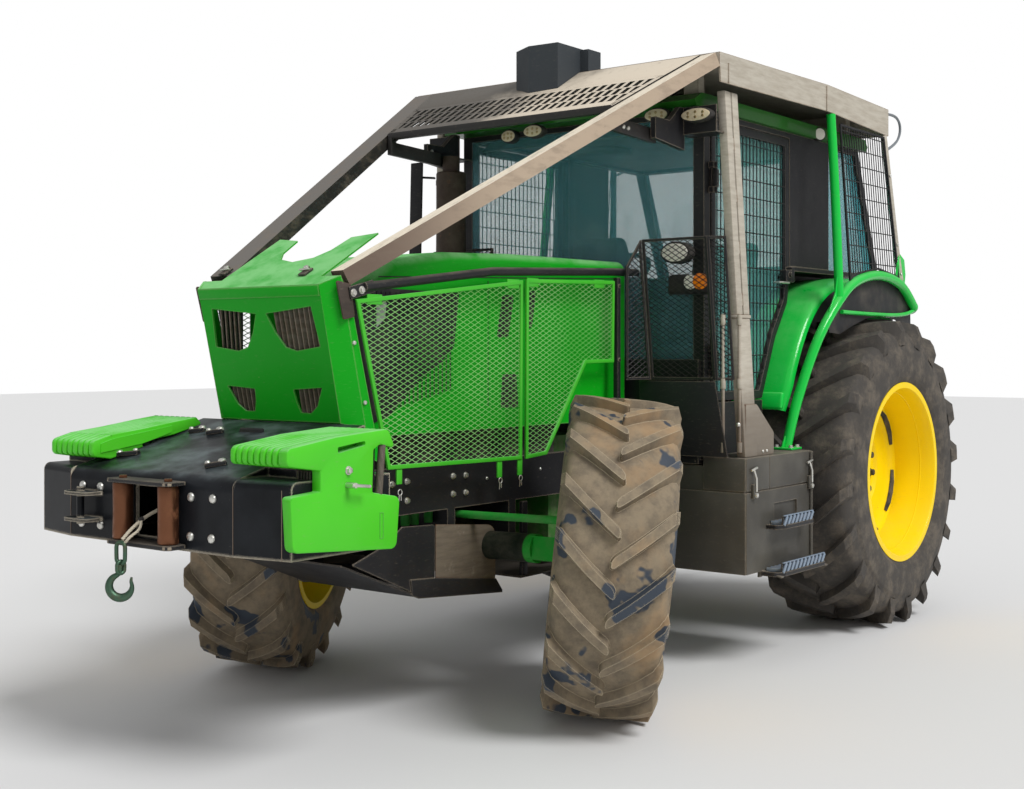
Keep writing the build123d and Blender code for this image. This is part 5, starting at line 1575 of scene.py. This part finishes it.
def wire_grid(outline, place, columns, rows, radius, inset):
    """Welded wires across an outline in Y and Z; place turns a Y and a Z into a place in space."""
    wires = []
    for y in columns:
        ends = level_of(outline, y, 0)
        if len(ends) == 2:
            wires.append((place(y, ends[0] + inset), place(y, ends[1] - inset)))
    for z in rows:
        ends = level_of(outline, z, 1)
        if len(ends) == 2:
            wires.append((place(ends[0] + inset, z), place(ends[1] - inset, z)))
    parts = [disc(radius, (end - start).length, (start + end) / 2, end - start, sides=6)
             for start, end in wires]
    return joined(parts, "wires")


def make_doors():
    """Each door: a black frame, its welded wires, hinges and latch."""
    outline = [at(735, y, z) for y, z in DOOR_OUTLINE]
    parts = [edge_frame(outline, LEFT, 0.045, 0.030)]
    wires = wire_grid(DOOR_OUTLINE, lambda y, z: at(760, y, z), range(-1500, -740, 38), range(1340, 2660, 90),
                      0.0030, 22)
    parts.append(block((0.035, 0.100, 0.062), at(782, -770, 1944), ease=0.005))
    parts.append(block((0.050, 0.030, 0.085), at(776, -742, 1950), ease=0.005))
    parts.append(disc(0.014, 0.018, at(804, -780, 1950), LEFT, sides=18, ease=0.002))
    for z in (1450, 2350):
        parts.append(block((0.013, 0.050, 0.090), at(771.5, -1535, z + 45), ease=0.002))
        parts.append(disc(0.010, 0.090, at(784, -1560, z + 45), UP, sides=20, ease=0.001))
        for lift in (20, 70):
            parts.append(dome(at(778, -1528, z + lift), LEFT, 0.007, 0.004))
    pull = [disc(0.006, 0.120, at(800, -850, 1905), REAR, sides=12, ease=0.002)]
    pull += [disc(0.006, 0.035, at(784, y, 1905), LEFT, sides=12, ease=0.001) for y in (-900, -800)]
    door = joined(parts, "door")
    pull = joined(pull, "pull")
    for side in ("left", "right"):
        if side == "right":
            door, pull, wires = [copied(piece, MIRROR) for piece in (door, pull, wires)]
        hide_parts(f"door_{side}")
        for piece, name, finish in ((wires, "door_wires", "wire_black"), (door, "wire_door", "black_steel"),
                                    (pull, "door_pull", "bright_bolt")):
            piece.name = f"{name}_{side}"
            kept(piece, finish, f"{side}_door")


REAR_GUARD = [(-466, 2783), (-474, 1922), (-400, 1956), (-80, 2000), (215, 1962), (136, 2783)]
REAR_GUARD_POST = [(150, 2793), (226, 2083), (250, 1951)]


def guard_place(y, z, out=0):
    """A place on the rear side guard, which leans in towards its top."""
    return at(935 + 0.0717 * (2797 - z) + out, y, z)


def make_rear_side_guards():
    """The welded wires beside the rear windows, and the light posts behind them."""
    outline = [guard_place(y, z) for y, z in REAR_GUARD]
    parts = [edge_frame(outline, LEFT, 0.012, 0.012),
             wire_grid(REAR_GUARD, lambda y, z: guard_place(y, z, 6), range(-450, 210, 32),
                       range(2030, 2770, 90), 0.0030, 6)]
    guard = both_sides(parts, "rear_wire_guards")
    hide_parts("rear_side_guards")
    kept(guard, "wire_black")
    spots = [guard_place(y, z) for y, z in REAR_GUARD_POST]
    post = joined([bar(start, end, 0.028, 0.028, ease=0.004) for start, end in zip(spots, spots[1:])], "post")
    kept(both_sides(post, "rear_guard_posts"), "post_grey")
    bolts = [dome(guard_place(y, z, 14), LEFT, 0.009, 0.006)
             for y, z in ((172, 2560), (214, 2160), (238, 1990))]
    kept(both_sides(bolts, "guard_post_bolts"), "bright_bolt")


def through(points, count):
    """Places along a smooth line that passes through every point."""
    spots = []
    last = len(points) - 1
    for number in range(count + 1):
        where = number / count * last
        index = min(int(where), last - 1)
        share = where - index
        a, b, c, d = (Vector(points[min(max(index + step, 0), last)]) for step in (-1, 0, 1, 2))
        bend = 2 * a - 5 * b + 4 * c - d
        twist = 3 * b - a - 3 * c + d
        spots.append(0.5 * (2 * b + (c - a) * share + bend * share ** 2 + twist * share ** 3))
    return spots


def draped(columns, rows, place, thick):
    """A sheet laid over the shape that place(along, across) gives, thickened inwards."""
    clear_selection()
    bpy.ops.mesh.primitive_grid_add(x_subdivisions=columns, y_subdivisions=rows, size=1)
    piece = bpy.context.object
    for vertex in piece.data.vertices:
        vertex.co = place(vertex.co.x + 0.5, vertex.co.y + 0.5)
    layer = piece.modifiers.new("thick", "SOLIDIFY")
    layer.thickness = thick
    layer.offset = 0
    bpy.ops.object.modifier_apply(modifier="thick")
    return edited(piece, every_face, face_outwards)


FENDER_LINE = [(-990, 1236), (-950, 1370), (-830, 1590), (-680, 1765), (-480, 1890), (-200, 1950),
               (150, 1950), (420, 1860), (560, 1740)]
FENDER_TUBE = [(880, -985, 1040), (915, -925, 1290), (965, -800, 1590), (1000, -620, 1800),
               (1005, -400, 1920), (1005, -80, 1968), (1005, 230, 1925), (1000, 450, 1797)]
FENDER_STEPS = 48
HOOP = [(930, -553, 2822), (962, -570, 2400), (1000, -598, 1818)]


def make_fenders():
    """Moulded fenders with a rolled outer edge and a pad at the foot."""
    line = through([(y, z, 0) for y, z in FENDER_LINE], FENDER_STEPS)
    outward = []
    for index in range(FENDER_STEPS + 1):
        run = line[min(index + 1, FENDER_STEPS)] - line[max(index - 1, 0)]
        outward.append(Vector((-run.y, run.x, 0)).normalized())

    def place(along, across):
        """Where the sheet is: along goes up and back over the wheel, across from the cab outwards."""
        index = min(round(along * FENDER_STEPS), FENDER_STEPS)
        width = 342 - 24 * max(0, 0.12 - along) / 0.12
        roll = max(0, (across - 0.80) / 0.20)
        lift = 6 * math.sin(math.pi * min(across / 0.8, 1)) - 34 * (1 - math.cos(roll * math.pi / 2)) - 7
        x = 538 + width * (min(across, 0.80) + 0.20 * math.sin(roll * math.pi / 2) * 0.6)
        spot = line[index] + outward[index] * lift
        return at(x + width * 0.08, spot.x, spot.y)

    fender = draped(FENDER_STEPS, 16, place, 0.007)
    pad = block((0.300, 0.032, 0.090), at(715, -990, 1282), (math.radians(-14), 0, 0), ease=0.012)
    left = joined([fender, pad], "moulded_fender_left")
    right = copied(left, MIRROR)
    right.name = "moulded_fender_right"
    for side, piece in (("left", left), ("right", right)):
        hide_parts(f"fender_{side}")
        kept(piece, "fender_green", smooth=50, slot_name=SLOT_OF[f"fender_{side}"])


def make_fender_tubes():
    """The green tubes over the rear wheels, their hoops and gussets, and the black skirts below."""
    arch = [at(*spot) for spot in through(FENDER_TUBE, 44)]
    arch += [at(960, 474, 1780), at(885, 474, 1790)]
    parts = [tube(arch, 0.027, sides=20), tube([at(*spot) for spot in through(HOOP, 8)], 0.025, sides=20)]
    parts.append(side_block(rounded([(-690, 1742), (-600, 1830), (-585, 1990), (-604, 1990), (-640, 1850),
                                     (-720, 1745)], 6), 990, 998, ease=0.002))
    parts.append(side_block(rounded([(165, 1945), (300, 1900), (318, 1990), (300, 2075), (228, 2110),
                                     (196, 2060)], 8), 994, 1001, ease=0.002))
    parts.append(block((0.110, 0.120, 0.012), at(885, -985, 1037), ease=0.003))
    parts.append(side_block([(-1040, 1040), (-985, 1040), (-978, 1130)], 876, 884, ease=0.001))
    parts.append(tube([at(996, -560, 1752), at(998, -100, 1744), at(998, 380, 1752), at(1000, 450, 1790)],
                      0.012, sides=12))
    tubes = both_sides(parts, "fender_hoops")
    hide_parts("fender_tubes")
    kept(tubes, "fender_green", smooth=50, slot_name=SLOT_OF["fender_tubes"])
    skirt = side_block([(-690, 1640), (-560, 1632), (-420, 1672), (-210, 1722), (0, 1739), (210, 1722),
                        (440, 1640), (430, 1830), (225, 1932), (-80, 1972), (-395, 1925), (-560, 1850),
                        (-700, 1710)], 978, 984, ease=0.001)
    kept(both_sides(skirt, "wheel_skirts"), "black_plastic")
    heads = [hex_bolt(at(side * x, y, 1043), UP, 0.020, 0.011) for side in (1, -1) for x in (845, 925)
             for y in (-1025, -950)]
    kept(joined(heads, "tube_foot_bolts"), "bright_bolt")


def make_rear_rim(side):
    """The deep rear rim: a smooth barrel with its seats, and a disc with long slots round its edge, drawn as dark
    plates of painted shade.
    """
    r = REAR_RIM
    barrel = lathe([(0.277, r + 0.022), (0.277, r - 0.010), (0.268, r - 0.016), (0.225, r - 0.022),
                    (0.150, r - 0.048), (0.060, r - 0.060), (-0.060, r - 0.060), (-0.150, r - 0.048),
                    (-0.225, r - 0.022), (-0.277, r - 0.012), (-0.277, r + 0.022), (-0.265, r + 0.022),
                    (-0.265, r), (-0.236, r), (-0.100, r - 0.040), (0.100, r - 0.040), (0.236, r), (0.262, r),
                    (0.266, r + 0.020)], steps=72)
    plate = lathe([(0.052, r - 0.060), (0.048, 0.412), (0.040, 0.392), (0.026, 0.372), (0.019, 0.330),
                   (0.019, 0.235), (0.002, 0.215), (0.002, 0.090), (-0.006, 0.086), (-0.006, 0.010),
                   (-0.020, 0.010), (-0.020, 0.215), (-0.004, 0.240), (-0.004, 0.330), (0.010, 0.378),
                   (0.030, 0.402), (0.036, r - 0.060)], steps=72)
    hub = lathe([(-0.012, 0.010), (-0.012, 0.205), (-0.024, 0.205), (-0.050, 0.150), (-0.150, 0.128),
                 (-0.226, 0.130), (-0.226, 0.010)], steps=40)
    seat = lathe([(0.200, r - 0.0285), (0.196, r - 0.034), (0.190, r - 0.034), (0.186, r - 0.033)], steps=72)
    whole = placed(joined([barrel, plate, hub, seat], f"deep_rim_{side}"), wheel_frame("rear", side))
    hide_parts(f"rim_rear_{side}")
    kept(whole, "yellow_rim", f"wheel_rear_{side}", smooth=35)
    slots = []
    # Each slot is a thin dark plate on the disc: painted shade for the gap.
    for index in range(6):
        middle = math.radians(127 + 60 * index)
        spots = [(turn, 0.386, 0.0385) for turn in (-0.33, -0.16, 0, 0.16, 0.33)]
        spots += [(0.33, 0.400, 0.0485), (0.16, 0.418, 0.0485), (0, 0.421, 0.0485), (-0.16, 0.418, 0.0485),
                  (-0.33, 0.400, 0.0485)]
        outline = [Vector((along, reach * math.sin(middle + turn), -reach * math.cos(middle + turn)))
                   for turn, reach, along in spots]
        slots.append(sheet_plate(outline, (0.004, 0, 0)))
    for low, across in circle(10, 0.1675, math.radians(80)):
        slots.append(hex_bolt((0.002, across, -low), LEFT, 0.032, 0.024))
    dark = placed(joined(slots, f"rim_slot_shade_and_nuts_{side}"), wheel_frame("rear", side))
    kept(dark, "dark_casting", f"wheel_rear_{side}", slot_name="link_steel")


def make_front_rim(side):
    """The front rim: a stepped barrel, a dished disc with its nuts and the hub's cover."""
    r = FRONT_RIM
    barrel = lathe([(0.222, r + 0.018), (0.222, r - 0.008), (0.212, r - 0.013), (0.160, r - 0.020),
                    (0.100, r - 0.038), (0.050, r - 0.045), (-0.050, r - 0.045), (-0.100, r - 0.038),
                    (-0.160, r - 0.020), (-0.222, r - 0.010), (-0.222, r + 0.018), (-0.212, r + 0.018),
                    (-0.212, r), (-0.180, r), (-0.080, r - 0.032), (0.080, r - 0.032), (0.180, r), (0.210, r),
                    (0.214, r + 0.016)], steps=64)
    plate = lathe([(0.072, r - 0.046), (0.060, 0.290), (0.040, 0.240), (-0.010, 0.190), (-0.040, 0.165),
                   (-0.040, 0.010), (-0.054, 0.010), (-0.054, 0.171), (-0.024, 0.196), (0.026, 0.246),
                   (0.046, 0.294), (0.058, r - 0.046)], steps=64)
    cap = lathe([(-0.040, 0.010), (-0.040, 0.112), (-0.020, 0.112), (-0.010, 0.095), (0.018, 0.086),
                 (0.030, 0.070), (0.030, 0.010)], steps=36)
    whole = placed(joined([barrel, plate, cap], f"front_rim_{side}"), wheel_frame("front", side))
    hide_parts(f"rim_front_{side}")
    kept(whole, "yellow_rim", f"wheel_front_{side}", smooth=35)
    nuts = [hex_bolt((-0.038, across, -low), LEFT, 0.026, 0.018) for low, across in circle(8, 0.138)]
    nuts = placed(joined(nuts, f"front_nuts_{side}"), wheel_frame("front", side))
    kept(nuts, "dark_casting", f"wheel_front_{side}", slot_name="link_steel")


def make_rims():
    """The four rims."""
    for side in ("left", "right"):
        make_rear_rim(side)
        make_front_rim(side)


def serrated_step(z, y_low, y_high, reach):
    """A step's black rim and board, and its slanting upright teeth with the bars behind them."""
    rim = [(998, y_low), (968 + reach, y_low), (998 + reach, y_low + 50), (998 + reach, y_high - 50),
           (968 + reach, y_high), (998, y_high)]
    outline = [at(x, y, z - 10) for x, y in rounded(rim, [2, 22, 30, 30, 22, 2])]
    middle = (y_low + y_high) / 2
    length = (y_high - y_low) / 1000
    rims = [edge_frame(outline, UP, 0.006, 0.022),
            block((0.006, length - 0.08, 0.048), at(982 + reach, middle, z + 30), ease=0.001),
            block((reach / 1000 - 0.02, length - 0.05, 0.004), at(998 + reach * 0.45, middle, z + 4),
                  ease=0.001)]
    teeth = [block((0.010, length - 0.08, 0.005), at(988 + reach, middle, z + 55), ease=0.001)]
    count = round((length - 0.09) / 0.040)
    for index in range(count):
        y = y_low + 58 + (y_high - y_low - 116) * index / (count - 1)
        teeth.append(block((0.010, 0.017, 0.056), at(990 + reach, y, z + 29), (math.radians(-38), 0, 0),
                           ease=0.002))
        teeth.append(block((reach / 1000 * 0.66, 0.008, 0.020), at(990 + reach * 0.48, y, z + 16),
                           (0, 0, 0.35), ease=0.001))
    return rims, teeth


BOX_FOOT = 472


def make_step_boxes():
    """The box beside each door: its panels with their seams, a latched recess and the toothed steps."""
    body = joined([block((0.394, 0.709, 0.514), at(797, -1292.5, 728), ease=0.006),
                   block((0.230, 0.709, 0.046), at(880, -1292.5, 1007), ease=0.006)], "body")
    panels = []
    for y_low, y_high, z_low, z_high in ((-1648, -1412, 870, 1028), (-1408, -937, 870, 1028),
                                         (-1648, -937, BOX_FOOT, 862)):
        panel = side_block(rounded([(y_low, z_low), (y_high, z_low), (y_high, z_high), (y_low, z_high)], 8),
                           992, 1003, ease=0.0015)
        if z_low == BOX_FOOT:
            cut_away(panel, block((0.060, 0.250, 0.088), at(1000, -1240, 748), ease=0.006))
        panels.append(panel)
    for x_low, z_low, z_high in ((602, BOX_FOOT, 862), (770, 870, 1028)):
        size = ((998 - x_low) / 1000, 0.006, (z_high - z_low) / 1000)
        panels.append(block(size, at((x_low + 998) / 2, -1651, (z_low + z_high) / 2), ease=0.0015))
    for y in (-1480, -990):
        panels.append(block((0.012, 0.030, 0.040), at(986, y, 462), ease=0.002))
        panels.append(bar(at(994, y, 474), at(1108, y, 452), 0.026, 0.008, ease=0.002))
    for y in (-955, -968):
        panels.append(disc(0.0045, 0.560, at(1010, y, 745), UP, sides=10))
    pads = [block((0.018, 0.030, 0.070), at(1011, y, 868), ease=0.006) for y in (-1590, -985)]
    whole = joined([body, *panels, *pads], "box_with_steps_left")
    mirrored = copied(whole, MIRROR)
    mirrored.name = "tank_with_steps_right"
    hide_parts("step_box_left")
    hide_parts("fuel_tank_right")
    kept(whole, "box_black")
    kept(mirrored, "box_black")
    upper_rim, upper_teeth = serrated_step(684, -1450, -1050, 90)
    lower_rim, lower_teeth = serrated_step(462, -1500, -960, 110)
    kept(both_sides(upper_rim + lower_rim, "step_rims"), "black_steel")
    kept(both_sides(upper_teeth + lower_teeth, "step_teeth"), "step_metal")
    latches = []
    for side in (1, -1):
        for y in (-1590, -985):
            latches.append(tube([at(side * 1012, y, 972), at(side * 1024, y + 3, 930),
                                 at(side * 1022, y + 8, 868)], 0.006, sides=10, smooth=False))
            latches.append(disc(0.006, 0.060, at(side * 1014, y, 975), (0, 1, 0.2), sides=12, ease=0.002))
            latches.append(disc(0.013, 0.016, at(side * 1022, y + 8, 850), (side, 0, 0), sides=18,
                                ease=0.005))
    latches += heads_beside(981, ((-1440, 1052), (-1400, 1052)), dome, 0.008, 0.005)
    kept(joined(latches, "box_latches"), "bright_bolt")


def make_seat():
    """The driver's seat: a cushion and a back with side bolsters on a bellows base."""
    cushion = block((0.460, 0.450, 0.120), at(0, -335, 1502), ease=0.045)
    back = block((0.430, 0.090, 0.620), (0, 0, 0), ease=0.035)
    placed(back, shift(0, -75, 1885) @ Matrix.Rotation(math.radians(-9), 4, "X"))
    parts = [cushion, back]
    for side in (1, -1):
        parts.append(block((0.055, 0.420, 0.050), at(side * 195, -335, 1540), ease=0.020))
    seat = joined(parts, "driver_seat")
    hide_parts("seat")
    kept(seat, "seat_fabric", smooth=60)
    base = [block((0.340 - 0.02 * (n % 2), 0.350 - 0.02 * (n % 2), 0.042), at(0, -325, 1253 + 41 * n),
                  ease=0.008) for n in range(5)]
    kept(joined(base, "seat_bellows"), "black_plastic")


def make_console():
    """The steering column with its dash, the wheel and its spokes."""
    parts = [side_block(rounded([(-1600, 1011), (-1420, 1011), (-1300, 1850), (-1480, 1930)],
                                [4, 20, 40, 60]), -110, 110, ease=0.012)]
    hump = rounded([(-1600, 1850), (-1480, 1850), (-1440, 2040), (-1490, 2130), (-1570, 2120)],
                   [4, 4, 50, 40, 30])
    parts.append(side_block(hump, -70, 220, ease=0.020))
    tilt = shift(0, -1260, 1960) @ Matrix.Rotation(math.radians(35), 4, "X")
    ring = tube([Vector((x, y, 0)) for x, y in circle(36, 0.190)], 0.014, sides=12, closed=True)
    parts.append(placed(ring, tilt))
    for turn in (0, 120, 240):
        spoke = block((0.170, 0.030, 0.010), (0.090, 0, -0.006), ease=0.003)
        parts.append(placed(spoke, tilt @ Matrix.Rotation(math.radians(turn + 90), 4, "Z")))
    parts.append(placed(disc(0.040, 0.030, (0, 0, -0.006), UP, sides=24, ease=0.006), tilt))
    parts.append(disc(0.020, 0.150, at(0, -1321, 1908), at(0, -1262, 1957) - at(0, -1380, 1860), sides=16))
    console = joined(parts, "wheel_and_column")
    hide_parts("steering_console")
    kept(console, "black_plastic", smooth=40)


def make_cab_inside():
    """The lining and pads under the cab's roof, the sun visor, and the thin post of the far mirror."""
    lining = block((1.380, 1.660, 0.012), at(0, -735, 2712), ease=0.004)
    visor = block((1.300, 0.110, 0.012), at(0, -1560, 2668), (math.radians(35), 0, 0), ease=0.004)
    pads = [block((0.300, 0.200, 0.040), at(side * 330, -900, 2690), ease=0.015) for side in (1, -1)]
    kept(joined([lining, visor, *pads], "roof_lining"), "lining_olive")
    post = bar(at(-1042, -1700, 2600), at(-1092, -1690, 1050), 0.084, 0.012, ease=0.002)
    stays = [bar(at(-1050, -1694, z), at(-960, -1640, z - 6), 0.030, 0.010, ease=0.002)
             for z in (1110, 1700, 2520)]
    kept(joined([post, *stays], "far_mirror_post"), "wire_black")


def make_roof_seams():
    """The two seams on each roof side plate, and the hose at the plate's rear end."""
    parts = [bar(at(945.5, y, low), at(945.5, y, high), 0.010, 0.003, ease=0.0005)
             for y, low, high in ((-642, 2830, 2962), (-1722, 2812, 2908))]
    kept(both_sides(parts, "roof_seams"), "post_grey")
    hose = tube([at(*spot) for spot in ((930, 190, 2925), (938, 300, 2935), (935, 395, 2900),
                                        (930, 410, 2830), (925, 340, 2760), (938, 150, 2700))],
                0.008, sides=10)
    kept(both_sides(hose, "roof_hoses"), "hose_grey")


def make_exhaust():
    """The rusty heat shield with its seams and straps, its tip, and a block near its foot."""
    shell = lathe([(1.290, 0.072), (1.296, 0.080), (2.488, 0.080), (2.496, 0.072), (2.500, 0.046),
                   (2.580, 0.045), (2.580, 0.040), (1.290, 0.040)],
                  steps=40)
    parts = [placed(shell, shift(-640, -1880, 0) @ UPRIGHT)]
    for z in (1400, 1800, 2200, 2440):
        band = lathe([(-0.012, 0.0795), (-0.012, 0.0818), (0.012, 0.0818), (0.012, 0.0795)], steps=40)
        parts.append(placed(band, shift(-640, -1880, z) @ UPRIGHT))
    parts.append(block((0.120, 0.130, 0.060), at(-640, -1815, 1330), ease=0.006))
    stack = joined(parts, "heat_shield")
    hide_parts("exhaust_stack")
    kept(stack, "exhaust_brown")


def make_stage():
    """A pale floor, an even white sky and one soft sun from the tractor's left."""
    bpy.ops.mesh.primitive_plane_add(size=80, location=(0, 0, 0))
    floor = bpy.context.object
    floor.name = "floor"
    ground = Finish("pale floor")
    speck = ground.noise(90, 4)
    grey = ground.mix(speck * 0.15, (0.74, 0.74, 0.74, 1), (0.6, 0.6, 0.6, 1))
    floor.data.materials.append(ground.done(colour=grey, roughness=0.85 + speck * 0.1))
    world = bpy.data.worlds.new("sky")
    world.use_nodes = True
    bpy.context.scene.world = world
    tree = world.node_tree
    path = tree.nodes.new("ShaderNodeLightPath")
    seen = Wire(tree, path.outputs["Is Camera Ray"]) + Wire(tree, path.outputs["Is Transmission Ray"])
    seen = seen - Wire(tree, path.outputs["Is Glossy Ray"]) * 0.35
    sky = tree.nodes["Background"]
    sky.inputs["Color"].default_value = (1, 1, 1, 1)
    plug(tree, sky.inputs["Strength"], seen * (1 - SKY_STRENGTH) + SKY_STRENGTH)
    data = bpy.data.lights.new("sun", "SUN")
    data.energy = SUN_STRENGTH
    data.angle = math.radians(24)
    sun = bpy.data.objects.new("sun", data)
    bpy.context.scene.collection.objects.link(sun)
    sun.rotation_euler = Vector(SUN_FROM).to_track_quat("Z", "Y").to_euler()


clear_selection()
dress_nodes()
make_stage()
make_winch()
make_ballast()
make_tyres()
make_guards()
make_nose()
make_hood_sides()
make_riser_feet()
make_oil_filters()
make_rear_fittings()
make_visor()
make_roof_lamps()
make_cab_lamps()
make_outer_posts()
make_doors()
make_rear_side_guards()
make_rims()
make_step_boxes()
make_fenders()
make_fender_tubes()
make_belly()
make_seat()
make_console()
make_cab_inside()
make_roof_seams()
make_exhaust()
